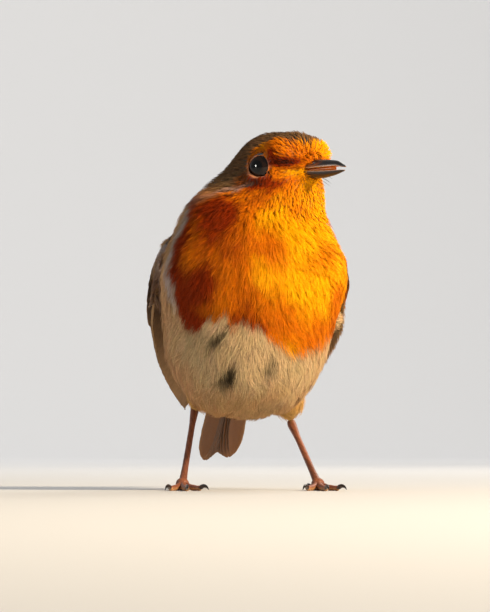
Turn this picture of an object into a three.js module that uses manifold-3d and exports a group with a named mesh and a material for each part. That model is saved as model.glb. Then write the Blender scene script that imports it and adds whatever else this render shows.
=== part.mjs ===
// A European robin, Erithacus rubecula, as a still, life-size model: it stands alert on both feet, with its
// head turned to its left and its bill a little open. Millimetres, +Z up. The bird faces -Y, its left is +X,
// and its toes stand on z = 0. Head places are given as [left, forward, up] from the middle of the head.
import * as THREE from "three";
import { mergeVertices } from "three/addons/utils/BufferGeometryUtils.js";
import Module from "manifold-3d";

const wasm = await Module();
wasm.setup();

// ---------- Driving dimensions ----------
const gap = 0.3; // between neighbouring pieces
const tarsusLength = 25.5;
const tailLength = 54.8;
const tailDrop = 31; // degrees below level
const eyeballRadius = 3.5;
const headTurn = 39; // degrees, to the bird's left
const headLift = 2.5; // degrees, bill up
const headMiddle = new THREE.Vector3(6.6, -7, 75.2);
const nape = new THREE.Vector3(1, 0.5, 66);
const trunkTilt = 32; // degrees that the trunk's long axis leans forward from upright
const bodyMelt = 7; // how far apart the soft parts of the body start to flow together
const headMelt = 2;

// ---------- Small tools ----------
const vec = (x, y, z) => new THREE.Vector3(x, y, z);
const rad = THREE.MathUtils.degToRad;
const smooth = THREE.MathUtils.smoothstep;
const lerp = THREE.MathUtils.lerp;

const onSide = (side, [x, y, z]) => vec(side * x, y, z);

const upright = new THREE.Quaternion();
const leaning = (degrees) =>
  new THREE.Quaternion().setFromAxisAngle(vec(1, 0, 0), rad(degrees));
const headPose = new THREE.Quaternion()
  .setFromAxisAngle(vec(0, 0, 1), rad(headTurn))
  .multiply(leaning(-headLift));

const headAxis = (left, forward, up) =>
  vec(left, -forward, up).applyQuaternion(headPose);
const inHead = (left, forward, up) =>
  headAxis(left, forward, up).add(headMiddle);

// A closed surface as a solid that can be joined and cut.
function solidOf(geometry) {
  geometry.deleteAttribute("normal");
  geometry.deleteAttribute("uv");
  const merged = mergeVertices(geometry, 1e-3);
  return new wasm.Manifold(
    new wasm.Mesh({
      numProp: 3,
      vertProperties: merged.getAttribute("position").array,
      triVerts: new Uint32Array(merged.index.array),
    }),
  );
}

// A sphere's grid moved to place(along, round): along runs from 0 at the first pole to 1 at the last.
function mappedSphere(columns, rows, place) {
  const geometry = new THREE.SphereGeometry(1, columns, rows);
  const position = geometry.getAttribute("position");
  for (let i = 0; i < position.count; i++) {
    const height = THREE.MathUtils.clamp(position.getY(i), -1, 1);
    const along = Math.acos(height) / Math.PI;
    const round = Math.atan2(position.getZ(i), position.getX(i));
    const p = place(along, round);
    position.setXYZ(i, p.x, p.y, p.z);
  }
  return solidOf(geometry);
}

// A limb with rounded ends along a curve: size(t) gives its half-width and half-height, and across is the
// direction of its width.
function limb({ points, size, across, sides = 10, steps = 14 }) {
  const curve = new THREE.CatmullRomCurve3(points);
  const length = curve.getLength();
  return mappedSphere(sides, steps, (along, round) => {
    const [wide, high] = size(along);
    const cap = Math.min(along, 1 - along) * length;
    const reach = Math.max(wide, high);
    const close = Math.sqrt(Math.max(0, 1 - Math.max(0, 1 - cap / reach) ** 2));
    const ahead = curve.getTangentAt(along);
    const side = across.clone().addScaledVector(ahead, -across.dot(ahead));
    side.normalize();
    const over = ahead.clone().cross(side);
    return curve
      .getPointAt(along)
      .addScaledVector(side, Math.cos(round) * wide * close)
      .addScaledVector(over, Math.sin(round) * high * close);
  });
}

// The value at t in a list of stations [t, value].
function between(stations, t) {
  const last = stations.length - 1;
  if (t <= stations[0][0]) return stations[0][1];
  if (t >= stations[last][0]) return stations[last][1];
  const i = stations.findIndex(([at]) => at > t) - 1;
  const [from, low] = stations[i];
  const [to, high] = stations[i + 1];
  return lerp(low, high, (t - from) / (to - from));
}

// ---------- The coat's outer shape: every soft part is a blob, and near blobs melt together ----------
function blob(at, radii, pose = upright) {
  const back = pose.clone().invert();
  const size = vec(...radii);
  return (p) => {
    const q = p.clone().sub(at).applyQuaternion(back);
    const near = q.clone().divide(size);
    const steep = near.clone().divide(size).length();
    return steep > 0
      ? (near.length() * (near.length() - 1)) / steep
      : -Math.min(...radii);
  };
}

function melted(over, blobs) {
  return (p) =>
    blobs
      .map((b) => b(p))
      .reduce((a, b) => {
        const share = Math.max(over - Math.abs(a - b), 0) / over;
        return Math.min(a, b) - (share * share * over) / 4;
      });
}

const trunkBlobs = [
  blob(vec(0, 3, 43.6), [20.4, 19, 27.2], leaning(trunkTilt)),
  blob(vec(0.9, -3.6, 51), [21.3, 17, 15.8]), // breast
  blob(vec(-1.2, 1.6, 32.5), [16.7, 18.6, 14.8]), // belly
  blob(vec(0, 16, 38), [14.5, 12.5, 12.5]), // lower back and flanks
  blob(vec(-0.1, 24.5, 31.6), [7.4, 4.8, 18], leaning(90 - tailDrop)), // rump and tail coverts
];
const neckBlobs = [
  blob(vec(0.5, -2.4, 63.8), [16, 12.6, 10]),
  blob(vec(2.8, -0.8, 69.4), [9.2, 9.2, 7.2]), // hind neck
  blob(inHead(0, -0.2, -8.6), [7.4, 6.4, 6.2], headPose), // throat
];
const headBlobs = [
  blob(inHead(0, -2.4, 0), [8.5, 10.2, 9], headPose),
  blob(inHead(0, 4.2, 2.2), [5.6, 7.2, 6.3], headPose), // forehead
  blob(inHead(4.7, 5.5, 3), [4.4, 5.2, 4.2], headPose), // brow and lore
  blob(inHead(-4.7, 5.5, 3), [4.4, 5.2, 4.2], headPose),
  blob(inHead(4.2, -2.8, -3.8), [5, 6.4, 4.8], headPose), // ear coverts
  blob(inHead(-4.2, -2.8, -3.8), [5, 6.4, 4.8], headPose),
  blob(inHead(2.8, 4.5, -5.2), [3.7, 4.5, 3.5], headPose), // whisker and chin
  blob(inHead(-2.8, 4.5, -5.2), [3.7, 4.5, 3.5], headPose),
];
const coat = melted(bodyMelt, [
  ...trunkBlobs,
  ...neckBlobs,
  melted(headMelt, headBlobs),
]);

// The grid of the whole coat. Its rays fan out over the head, leave a line down the neck, and fan out again
// under the belly.
const coatGrid = {
  columns: 36,
  rows: 38,
  headShare: 0.34,
  bellyShare: 0.27,
  middle: new THREE.CatmullRomCurve3([headMiddle, nape, vec(0, 5, 31)]),
  outside: 60,
  tries: 60,
  stride: 0.85,
  closeEnough: 0.003,
};

// Where a ray starts and how many degrees it rises.
function rayStart(along) {
  const { headShare, bellyShare, middle } = coatGrid;
  const bellyFrom = 1 - bellyShare;
  const down = THREE.MathUtils.clamp(
    (along - headShare) / (bellyFrom - headShare),
    0,
    1,
  );
  const overHead = Math.max(0, 1 - along / headShare);
  const underBelly = Math.max(0, (along - bellyFrom) / bellyShare);
  return [middle.getPoint(down), 90 * (overHead - underBelly)];
}

function coatSolid(level) {
  const { columns, rows, outside, tries, stride, closeEnough } = coatGrid;
  return mappedSphere(columns, rows, (along, round) => {
    const [from, rise] = rayStart(along);
    const ray = vec(Math.cos(round), -Math.sin(round), 0)
      .multiplyScalar(Math.cos(rad(rise)))
      .setZ(Math.sin(rad(rise)));
    let reach = outside;
    for (let i = 0; i < tries; i++) {
      const far = coat(from.clone().addScaledVector(ray, reach)) - level;
      reach -= far * stride;
      if (Math.abs(far) < closeEnough) break;
    }
    return from.addScaledVector(ray, reach);
  });
}

const wholeCoat = coatSolid(0);
const coatRoom = coatSolid(gap); // what other pieces leave free

// ---------- Head, neck and trunk are parted by thin cuts ----------
const cut = (normal, through) => ({
  normal: normal.normalize(),
  at: normal.dot(through),
});
const headCut = cut(headAxis(0, 0.3, 1), inHead(0, 0, -3.9));
const neckCut = cut(vec(0, -0.17, 1), vec(0, 0, 63.5));

const above = (solid, { normal, at }) =>
  solid.trimByPlane(normal.toArray(), at + gap / 2);
const below = (solid, { normal, at }) =>
  solid.trimByPlane(normal.clone().negate().toArray(), gap / 2 - at);

// ---------- Eyes: domes in shallow sockets ----------
const eye = { side: 6.9, forward: 1.2, up: 0.1, ahead: 12, depth: 3 };

function eyeball(side, extra) {
  const ahead = rad(eye.ahead);
  const look = headAxis(side * Math.cos(ahead), Math.sin(ahead), 0);
  const at = inHead(side * eye.side, eye.forward, eye.up);
  const ball = new THREE.SphereGeometry(eyeballRadius + extra, 16, 10);
  ball.translate(at.x, at.y, at.z);
  const floor = look.dot(at) + eyeballRadius - eye.depth - extra;
  return solidOf(ball).trimByPlane(look.toArray(), floor);
}

// ---------- Bill: each half runs from the corner of the mouth to its tip ----------
const mouth = {
  corner: 4.4, // forward of the head's middle
  height: -0.9,
  upperTip: 20.9,
  lowerTip: 20.5,
  opening: 3.4, // degrees
  hook: 0.45, // how far the upper tip bends down
  hookFrom: 18,
  roundEnd: 0.5,
  hollow: 0.03, // how far the biting faces bow
};
const billWidth = [
  [4.4, 6.4],
  [7, 5.3],
  [10.5, 2.7],
  [14, 1.6],
  [17.5, 1],
  [20, 0.5],
  [21, 0.25],
];
const culmen = [
  [4.4, 0.4],
  [8, 0.8],
  [10.4, 1.9],
  [12, 2.15],
  [15, 1.85],
  [18, 1.4],
  [19.8, 0.85],
  [21, 0.3],
];
const gonys = [
  [4.4, 0.4],
  [8, 0.8],
  [11, 1.5],
  [14, 1.45],
  [17.5, 1],
  [20, 0.4],
  [21, 0.2],
];

function billHalf(upper, extra, opening = upper ? 0 : mouth.opening) {
  const heights = upper ? culmen : gonys;
  const swing = rad(opening);
  const tip = upper ? mouth.upperTip : mouth.lowerTip;
  const span = tip - mouth.corner;
  const sign = upper ? 1 : -1;
  const bitingFace = gap / 2;
  return mappedSphere(12, 16, (along, round) => {
    const out = along * span;
    const forward = mouth.corner + out;
    const wide = between(billWidth, forward) + extra;
    const high = between(heights, forward) - bitingFace;
    const end = Math.min(along, 1 - along) * span;
    const close = Math.sqrt(1 - Math.max(0, 1 - end / mouth.roundEnd) ** 2);
    const lift = Math.sin(round);
    const rise = lift * ((lift > 0 ? high : mouth.hollow) + extra);
    const bend = upper ? mouth.hook * smooth(forward, mouth.hookFrom, tip) : 0;
    const height = sign * (bitingFace + rise * close) - bend;
    return inHead(
      sign * Math.cos(round) * wide * close,
      mouth.corner + out * Math.cos(swing) + extra * (2 * along - 1),
      mouth.height - out * Math.sin(swing) + height,
    );
  });
}

// ---------- Wings: a bowed blade that lies on the flank and runs on beside the tail ----------
const wing = {
  lower: [
    [18.4, 1, 52],
    [22.4, 6.5, 45],
    [22.7, 13, 39.5],
    [21, 22, 33.8],
    [18.7, 32, 28.8],
    [14.6, 45, 23.3],
    [10.2, 59.5, 19.3],
  ],
  upper: [
    [17.6, 2.5, 56],
    [12.4, 11, 58.6],
    [7.4, 23, 51],
    [4.4, 36, 40],
    [5, 47.5, 30.2],
    [9.2, 59.5, 20.9],
  ],
  bow: 2.4,
  flatten: 0.6, // share of the bow that is gone at the tip
  lift: 0.45, // the inner face above the coat
  thickness: [
    [0, 0.6],
    [0.15, 1.3],
    [0.8, 0.8],
  ],
  lifts: 12,
  probe: 0.05,
  closeEnough: 0.01,
};

// Moves a point outwards until it is at least that far above the coat.
function liftOff(p, level) {
  const { lifts, probe, closeEnough } = wing;
  for (let i = 0; i < lifts; i++) {
    const here = coat(p);
    if (level - here <= closeEnough) break;
    const slope = vec(
      coat(vec(p.x + probe, p.y, p.z)) - here,
      coat(vec(p.x, p.y + probe, p.z)) - here,
      coat(vec(p.x, p.y, p.z + probe)) - here,
    ).normalize();
    p.addScaledVector(slope, level - here);
  }
}

function wingBlade(side) {
  const curveOf = (points) =>
    new THREE.CatmullRomCurve3(points.map((point) => onSide(side, point)));
  const lower = curveOf(wing.lower);
  const upper = curveOf(wing.upper);
  const geometry = new THREE.BoxGeometry(1, 1, 1, 16, 5, 1);
  const position = geometry.getAttribute("position");
  for (let i = 0; i < position.count; i++) {
    const along = position.getX(i) + 0.5;
    const across = position.getY(i) + 0.5;
    const outer = position.getZ(i) > 0;
    const low = lower.getPoint(along);
    const high = upper.getPoint(along);
    const out = lower
      .getTangent(along)
      .cross(high.clone().sub(low))
      .multiplyScalar(side)
      .normalize();
    const bow = wing.bow * (1 - wing.flatten * along) * Math.sin(Math.PI * across);
    const thickness = between(wing.thickness, along);
    const p = low.lerp(high, across).addScaledVector(out, bow);
    liftOff(p, wing.lift + thickness);
    if (!outer) {
      p.addScaledVector(out, -thickness);
      liftOff(p, wing.lift);
    }
    position.setXYZ(i, p.x, p.y, p.z);
  }
  if (side < 0) geometry.index.array.reverse();
  return solidOf(geometry).subtract(coatRoom);
}

const behindCoverts = cut(vec(0, 0.93, 0.36), vec(0, 17, 44));
const behindSecondaries = cut(vec(0, 0.9, -0.44), vec(0, 40, 30));

// ---------- Tail: twelve closed feathers as one cambered fan with a shallow notch ----------
const tail = {
  root: vec(0, 23, 35.6),
  halfWidth: [
    [0, 3.6],
    [0.5, 4.7],
    [0.85, 5.6],
    [1, 5.3],
  ],
  notch: 1.6,
  corner: 3.4, // how much shorter the outermost feathers are
  swing: -1.1, // to the bird's right, at the tip
  roll: 8, // degrees, the right edge lower
  thick: 1.1,
  taper: 0.35, // share of the thickness that is gone at the tip
  camber: 1.2,
};

function tailFan() {
  const back = vec(0, Math.cos(rad(tailDrop)), -Math.sin(rad(tailDrop)));
  const wide = vec(1, 0, 0).applyAxisAngle(back, rad(-tail.roll));
  const over = back.clone().cross(wide).negate();
  const geometry = new THREE.BoxGeometry(1, 1, 1, 8, 6, 1);
  const position = geometry.getAttribute("position");
  for (let i = 0; i < position.count; i++) {
    const across = position.getX(i) * 2;
    const along = position.getY(i) + 0.5;
    const edge = Math.abs(across);
    const reach =
      tailLength -
      tail.notch * (1 - smooth(edge, 0, 0.6)) -
      tail.corner * smooth(edge, 0.55, 1.05) ** 2;
    const thickness = tail.thick * (1 - tail.taper * along);
    const height =
      position.getZ(i) * thickness - tail.camber * across * across * along;
    const p = tail.root
      .clone()
      .addScaledVector(back, along * reach)
      .addScaledVector(wide, across * between(tail.halfWidth, along))
      .addScaledVector(over, height);
    p.x += tail.swing * along;
    position.setXYZ(i, p.x, p.y, p.z);
  }
  return solidOf(geometry).subtract(coatRoom);
}

// ---------- Legs and feet ----------
const legs = [
  { side: 1, name: "left", hip: [9, 9.5, 27], ankle: [12.2, 21.8, 16], footOut: 16.2 },
  { side: -1, name: "right", hip: [9, 8, 29], ankle: [11, 21.4, 19.6], footOut: 15.6 },
];
const footHeight = 1.45;
const footRadius = 1.6;
const tarsusDepth = 1.12; // its depth against its width
const heel = 0.7; // the joint above the tarsus
// turn is from straight ahead, positive away from the other foot.
const toes = [
  { number: 3, length: 13.5, turn: 1, claw: 4.4 },
  { number: 2, length: 9.2, turn: -22, claw: 4 },
  { number: 4, length: 9.8, turn: 22, claw: 3.8 },
  { number: 1, length: 7.6, turn: 186, claw: 5.6 },
];

// The foot stands as far ahead of the ankle as the tarsus reaches.
function footPoint({ side, ankle, footOut }) {
  const [x, y, z] = ankle;
  const sideways = footOut - x;
  const down = z - footHeight;
  const ahead = Math.sqrt(tarsusLength ** 2 - sideways ** 2 - down ** 2);
  return vec(side * footOut, y - ahead, footHeight);
}

function thigh(leg) {
  const hip = onSide(leg.side, leg.hip);
  const ankle = onSide(leg.side, leg.ankle);
  const along = ankle.clone().sub(hip).normalize();
  const end = ankle.clone().addScaledVector(along, -2 * gap);
  const stations = [
    [0, 5.4],
    [0.45, 4.2],
    [0.75, 2.5],
    [1, 1.45],
  ];
  return limb({
    points: [hip, end],
    size: (t) => [between(stations, t), between(stations, t)],
    across: vec(1, 0, 0),
    sides: 12,
    steps: 8,
  });
}

function tarsus(leg, extra) {
  const foot = footPoint(leg);
  const ankle = onSide(leg.side, leg.ankle);
  const toAnkle = ankle.clone().sub(foot).normalize();
  const stations = [
    [0, 1.05],
    [0.2, 0.8],
    [0.75, 0.75],
    [0.9, 1.05],
    [1, 1.15],
  ];
  const shin = limb({
    points: [
      foot.clone().addScaledVector(toAnkle, -extra),
      foot.clone().lerp(ankle, 0.5),
      ankle.clone().addScaledVector(toAnkle, heel + extra),
    ],
    size: (t) => {
      const r = between(stations, t) + extra;
      return [r, r * tarsusDepth];
    },
    across: vec(1, 0, 0),
    sides: 8,
    steps: 10,
  });
  const ball = new THREE.SphereGeometry(footRadius + extra, 10, 6);
  ball.translate(foot.x, foot.y, foot.z);
  return shin.add(solidOf(ball)).trimByPlane([0, 0, 1], extra ? -1 : 0);
}

function toePath(leg, toe) {
  const turn = rad(toe.turn) * leg.side;
  const ahead = vec(Math.sin(turn), -Math.cos(turn), 0);
  const place = (out, height) =>
    footPoint(leg).setZ(height).addScaledVector(ahead, out);
  return { ahead, place };
}

function toeSolid(leg, toe, extra) {
  const { ahead, place } = toePath(leg, toe);
  const across = ahead.clone().cross(vec(0, 0, 1));
  const pads = toe.length / 3.2;
  return limb({
    points: [
      place(0.2, 1.5),
      place(toe.length * 0.3, 1.0),
      place(toe.length * 0.65, 0.66),
      place(toe.length + extra, 0.6),
    ],
    size: (t) => {
      const pad = 0.07 * Math.cos(2 * Math.PI * pads * (1 - t));
      const r = lerp(0.82, 0.62, t) + pad + extra;
      return [r, r];
    },
    across,
    sides: 7,
    steps: 7,
  }).trimByPlane([0, 0, 1], extra ? -1 : 0);
}

function clawSolid(leg, toe) {
  const { ahead, place } = toePath(leg, toe);
  const out = toe.length + gap;
  return limb({
    points: [
      place(out - 0.3, 0.75),
      place(out + toe.claw * 0.35, 1.15),
      place(out + toe.claw * 0.75, 0.95),
      place(out + toe.claw, 0.28),
    ],
    size: (t) => [lerp(0.4, 0.2, t), lerp(0.55, 0.24, t)],
    across: ahead.clone().cross(vec(0, 0, 1)),
    sides: 6,
    steps: 5,
  });
}

// ---------- Put together ----------
const colours = {
  orange: [0xd9701c, 0.75],
  pale: [0xcdb792, 0.8],
  brown: [0x5c452c, 0.65],
  horn: [0x1d1613, 0.35],
  shin: [0x8a4a2f, 0.5],
  claw: [0x2a201b, 0.4],
  eye: [0x050404, 0.05],
};
const robin = new THREE.Group();

function show(name, solid, colour) {
  const made = solid.getMesh();
  const geometry = new THREE.BufferGeometry();
  geometry.setAttribute(
    "position",
    new THREE.BufferAttribute(new Float32Array(made.vertProperties), 3),
  );
  geometry.setIndex(new THREE.BufferAttribute(new Uint32Array(made.triVerts), 1));
  geometry.computeVertexNormals();
  const [color, roughness] = colours[colour];
  const material = new THREE.MeshStandardMaterial({ color, roughness });
  const mesh = new THREE.Mesh(geometry, material);
  mesh.name = name;
  robin.add(mesh);
}

const openMouth = billHalf(false, gap, mouth.opening / 2);
let head = above(wholeCoat, headCut).subtract(openMouth);
for (const upper of [true, false]) {
  head = head.subtract(billHalf(upper, gap));
  show(upper ? "bill_upper" : "bill_lower", billHalf(upper, 0), "horn");
}
for (const { side, name } of legs) {
  head = head.subtract(eyeball(side, gap));
  show(`eye_${name}`, eyeball(side, 0), "eye");
}
show("head", head, "orange");
show("neck", above(below(wholeCoat, headCut), neckCut), "orange");
show("trunk", below(wholeCoat, neckCut), "pale");
show("tail", tailFan(), "brown");

for (const { side, name } of legs) {
  const blade = wingBlade(side);
  const rear = above(blade, behindCoverts);
  show(`wing_${name}_coverts`, below(blade, behindCoverts), "brown");
  show(`wing_${name}_secondaries`, below(rear, behindSecondaries), "brown");
  show(`wing_${name}_primaries`, above(rear, behindSecondaries), "brown");
}

for (const leg of legs) {
  let taken = tarsus(leg, gap);
  show(`thigh_${leg.name}`, thigh(leg).subtract(coatRoom).subtract(taken), "pale");
  show(`tarsus_${leg.name}`, tarsus(leg, 0), "shin");
  for (const toe of toes) {
    const name = `${leg.name}_${toe.number}`;
    show(`toe_${name}`, toeSolid(leg, toe, 0).subtract(taken), "shin");
    show(`claw_${name}`, clawSolid(leg, toe), "claw");
    taken = taken.add(toeSolid(leg, toe, gap));
  }
}

// The origin is under the middle of the bird's box.
const box = new THREE.Box3().setFromObject(robin);
robin.position.set(
  -(box.min.x + box.max.x) / 2,
  -(box.min.y + box.max.y) / 2,
  -box.min.z,
);

export default robin;
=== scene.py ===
import math
import bmesh
import bpy
import numpy as np
from mathutils import Matrix, Vector, noise
from mathutils.bvhtree import BVHTree


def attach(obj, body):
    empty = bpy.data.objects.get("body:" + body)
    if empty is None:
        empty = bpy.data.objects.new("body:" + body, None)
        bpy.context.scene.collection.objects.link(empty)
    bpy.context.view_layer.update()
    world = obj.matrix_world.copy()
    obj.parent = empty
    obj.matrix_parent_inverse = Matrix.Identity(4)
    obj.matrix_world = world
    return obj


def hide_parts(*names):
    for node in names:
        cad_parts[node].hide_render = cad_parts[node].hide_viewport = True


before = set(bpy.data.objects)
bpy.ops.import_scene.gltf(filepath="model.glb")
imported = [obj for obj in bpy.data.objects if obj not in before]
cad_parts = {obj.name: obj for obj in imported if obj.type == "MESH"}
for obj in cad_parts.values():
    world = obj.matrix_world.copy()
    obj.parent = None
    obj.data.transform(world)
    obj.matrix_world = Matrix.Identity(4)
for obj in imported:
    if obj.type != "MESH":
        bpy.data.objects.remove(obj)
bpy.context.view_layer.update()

mm = 0.001

# The head's own frame: left, forward and up from its middle, in mm.
head = {
    "middle": (6.461, -30.411, 75.2),
    "turn": 39,  # degrees, to the bird's left
    "lift": 2.5,  # degrees, bill up
    "mouth": -0.9,  # the height of the line between the two halves of the bill
    "flatten": 0.9,  # the head is this much lower than it is long
}
headTurn = Matrix.Rotation(math.radians(head["turn"]), 3, "Z")
headRotation = headTurn @ Matrix.Rotation(math.radians(-head["lift"]), 3, "X")
headMiddle = Vector(head["middle"])
headArray = np.array(headRotation)
# the solids were moved by this much when they were packed, in mm
packShift = np.array((-0.139, -23.411, 0))
sides = ((1, "left"), (-1, "right"))
bodyAxis = (0.6, -21.5)  # the middle of the breast: across, and from front to back, in mm


def headAxis(left, forward, up):
    return headRotation @ Vector((left, -forward, up))


def inHead(left, forward, up):
    return (headMiddle + headAxis(left, forward, up)) * mm


def fromHead(left, forward, up):
    # the same for arrays
    local = np.stack([left, -forward, up], axis=-1)
    return (local @ headArray.T + np.array(head["middle"])) * mm


def toHead(points):
    # points in metres, as an array; returns left, forward and up in mm
    local = (points / mm - np.array(head["middle"])) @ headArray
    return local[:, 0], -local[:, 1], local[:, 2]


def headReach(left, forward, up):
    return np.sqrt(left**2 + forward**2 + (up * head["flatten"]) ** 2)


def aroundBody(x, y):
    # degrees from the middle of the breast, 180 at the back
    return np.degrees(np.arctan2(np.abs(x - bodyAxis[0]), -(y - bodyAxis[1])))


def smoothStep(low, high, value):
    t = np.clip((value - low) / (high - low), 0, 1)
    return t * t * (3 - 2 * t)


def softSpot(a, b):
    # 1 in the middle of an oval and fading out past it
    return np.exp(-(a**2) - b**2)


def mixed(a, b, share):
    share = np.asarray(share)[..., None]
    return np.asarray(a) * (1 - share) + np.asarray(b) * share


def srgb(red, green, blue):
    # 0-255 screen colour to linear
    c = np.array([red, green, blue]) / 255
    return np.where(c <= 0.04045, c / 12.92, ((c + 0.055) / 1.055) ** 2.4)


def unit(vectors):
    length = np.linalg.norm(vectors, axis=-1, keepdims=True)
    return vectors / np.maximum(length, 1e-12)


def stationed(stations, t):
    places, values = np.array(stations, float).T
    return np.interp(t, places, values)


def curveThrough(stations, t):
    # a smooth curve through the stations, t from 0 to 1
    p = np.array(stations, float)
    p = np.vstack([2 * p[0] - p[1], p, 2 * p[-1] - p[-2]])
    count = len(p) - 3
    s = np.clip(np.asarray(t, float) * count, 0, count - 1e-6)
    i = s.astype(int)
    f = (s - i)[..., None]
    a, b, c, d = p[i], p[i + 1], p[i + 2], p[i + 3]
    bend = (2 * a - 5 * b + 4 * c - d) * f**2 + (3 * b - a - 3 * c + d) * f**3
    return 0.5 * (2 * b + (c - a) * f + bend)


# The camera, the lights and the paper sweep the bird stands on.
studio = {
    "azimuth": -6,  # degrees, to the bird's right
    "rise": -1.8,  # the camera looks up a little
    "distance": 1.0,
    "aim": (-1.33, -23.29, 43.4),  # mm
    "frameWidth": 115.3,  # mm at the bird
    "paper": srgb(222, 225, 230),
    "paperRoughness": 0.75,
    "paperHalf": 5,  # metres
    "floorBehind": 1.7,  # metres of level paper behind the bird, so its back can be seen too
    "curve": 1.3,
    "sky": (0.9, 0.89, 0.88),
    "skyStrength": 0.3,
    "lightsAim": (0, -0.02, 0.05),
}


def aimAt(thing, spot):
    away = thing.location - Vector(spot)
    thing.rotation_euler = away.to_track_quat("Z", "Y").to_euler()


def makeCamera():
    azimuth = math.radians(studio["azimuth"])
    rise = math.radians(studio["rise"])
    level = math.cos(rise)
    back = Vector((math.sin(azimuth) * level, -math.cos(azimuth) * level, math.sin(rise)))
    aim = Vector(studio["aim"]) * mm
    data = bpy.data.cameras.new("camera")
    data.sensor_fit = "HORIZONTAL"
    data.sensor_width = 36
    data.lens = 36 * studio["distance"] / (studio["frameWidth"] * mm)
    data.clip_start = 0.01
    camera = bpy.data.objects.new("camera", data)
    camera.location = aim + back * studio["distance"]
    aimAt(camera, aim)
    bpy.context.collection.objects.link(camera)
    bpy.context.scene.camera = camera
    bpy.context.scene.view_settings.view_transform = "Standard"


def lightPlace(azimuth, rise, away):
    # degrees to the bird's left and up, and metres from its middle
    side, up = math.radians(azimuth), math.radians(rise)
    level = away * math.cos(up)
    x, y, z = studio["lightsAim"]
    return (x + level * math.sin(side), y - level * math.cos(side), z + away * math.sin(up))


# Round soft lights: place and size in metres, power in watts.
lights = [
    {"name": "key", "place": lightPlace(46, 27, 0.95), "size": 0.12, "power": 14.5,
     "colour": (1, 0.8, 0.54)},
    {"name": "fill", "place": (-0.9, -0.8, 0.5), "size": 1.6, "power": 0.9,
     "colour": (0.8, 0.88, 1), "notIn": "glossy"},
    {"name": "rim", "place": (0.4, 0.6, 0.5), "size": 0.35, "power": 2.0, "colour": (1, 0.9, 0.75)},
    # seen only as the small light in the eye
    {"name": "catch", "place": lightPlace(-74, 9, 0.8), "size": 0.17, "power": 3,
     "colour": (1, 0.97, 0.9), "notIn": "diffuse"},
    # lights the paper's far end, not the bird
    {"name": "wash", "place": (0, 1.0, 1.7), "size": 1.2, "power": 28, "colour": (1, 0.95, 0.88),
     "aim": (0, 2.9, 0.35), "notIn": "camera"},
]


def softLight(rule):
    data = bpy.data.lights.new(rule["name"], "AREA")
    data.shape = "DISK"
    data.size = rule["size"]
    data.energy = rule["power"]
    data.color = rule["colour"]
    light = bpy.data.objects.new(rule["name"], data)
    light.location = rule["place"]
    bpy.context.collection.objects.link(light)
    aimAt(light, rule.get("aim", studio["lightsAim"]))
    if "notIn" in rule:
        setattr(light, "visible_" + rule["notIn"], False)


def plainMaterial(name, colour, roughness):
    material = bpy.data.materials.new(name)
    material.use_nodes = True
    shader = material.node_tree.nodes["Principled BSDF"]
    shader.inputs["Base Color"].default_value = (*colour, 1)
    shader.inputs["Roughness"].default_value = roughness
    return material, shader


def makeSweep():
    # a strip of paper that curves up behind the bird
    bm = bmesh.new()
    bmesh.ops.create_grid(bm, x_segments=2, y_segments=160, size=studio["paperHalf"])
    start, radius = studio["floorBehind"], studio["curve"]
    quarter = radius * math.pi / 2
    for vert in bm.verts:
        run = vert.co.y - start
        if run <= 0:
            continue
        if run < quarter:
            angle = run / radius
            vert.co.y = start + math.sin(angle) * radius
            vert.co.z = (1 - math.cos(angle)) * radius
        else:
            vert.co.y = start + radius
            vert.co.z = radius + run - quarter
    mesh = bpy.data.meshes.new("sweep")
    bm.to_mesh(mesh)
    bm.free()
    mesh.polygons.foreach_set("use_smooth", [True] * len(mesh.polygons))
    sweep = bpy.data.objects.new("sweep", mesh)
    bpy.context.collection.objects.link(sweep)
    mesh.materials.append(plainMaterial("sweepPaper", studio["paper"], studio["paperRoughness"])[0])


def makeStudio():
    makeSweep()
    world = bpy.data.worlds.new("studio")
    world.use_nodes = True
    background = world.node_tree.nodes["Background"]
    background.inputs["Color"].default_value = (*studio["sky"], 1)
    background.inputs["Strength"].default_value = studio["skyStrength"]
    bpy.context.scene.world = world
    for rule in lights:
        softLight(rule)


makeCamera()
makeStudio()
print("camera and studio made")


# Screen colours of the plumage.
plumage = {
    "orange": srgb(216, 114, 3),
    "orangeLight": srgb(250, 178, 4),
    "orangeDeep": srgb(140, 44, 2),
    "lore": srgb(74, 26, 6),
    "crown": srgb(108, 80, 54),
    "back": srgb(118, 94, 64),
    "cheek": srgb(126, 66, 22),
    "grey": srgb(182, 172, 172),
    "belly": srgb(207, 178, 134),
    "flank": srgb(204, 160, 116),
    "vent": srgb(176, 126, 72),
    "thigh": srgb(220, 172, 98),
    "down": srgb(98, 88, 82),
    "wing": srgb(128, 96, 60),
    "wingEdge": srgb(192, 146, 90),
    "wingDark": srgb(62, 46, 34),
    "tail": srgb(92, 60, 32),
    "tailUnder": srgb(112, 64, 14),
}

# The orange of the face, as an outline in the head's forward and up.
faceOutline = [
    (14, 4.4), (9, 5.2), (4, 5.8), (0.5, 5.5), (-1.8, 4.2), (-2.7, 2.8), (-2.2, 0.6),
    (-0.6, -2.2), (0.8, -4.2), (-2, -5.6), (-7, -6.6), (-12, -9), (-12, -20), (14, -20),
]
# The lower edge of the orange breast: across and up, in mm.
breastEdge = [
    (-21, 52), (-18.6, 44.8), (-17.2, 40.8), (-16, 38.2), (-14.3, 37.4), (-9.9, 40), (-8.1, 40.6),
    (-7, 42.4), (-6.2, 39.5), (-5.8, 37.8), (-4.4, 38.5), (-2.4, 39), (0, 37.8), (1.8, 36.6),
    (4.1, 34.2), (5.4, 33.3), (10.4, 33), (13.7, 33.6), (17.2, 36.4), (20.5, 40.1), (22.3, 44.8),
]
# How far round the body the orange goes: up, and degrees from the breast's middle.
sideEdge = [(36, 52), (41, 57), (45, 59), (50, 61), (54, 62), (60, 58), (65, 58), (69, 84), (72, 120)]
sideTurn = 33  # degrees further round on the bird's left, where its turned head pulls the skin
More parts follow.
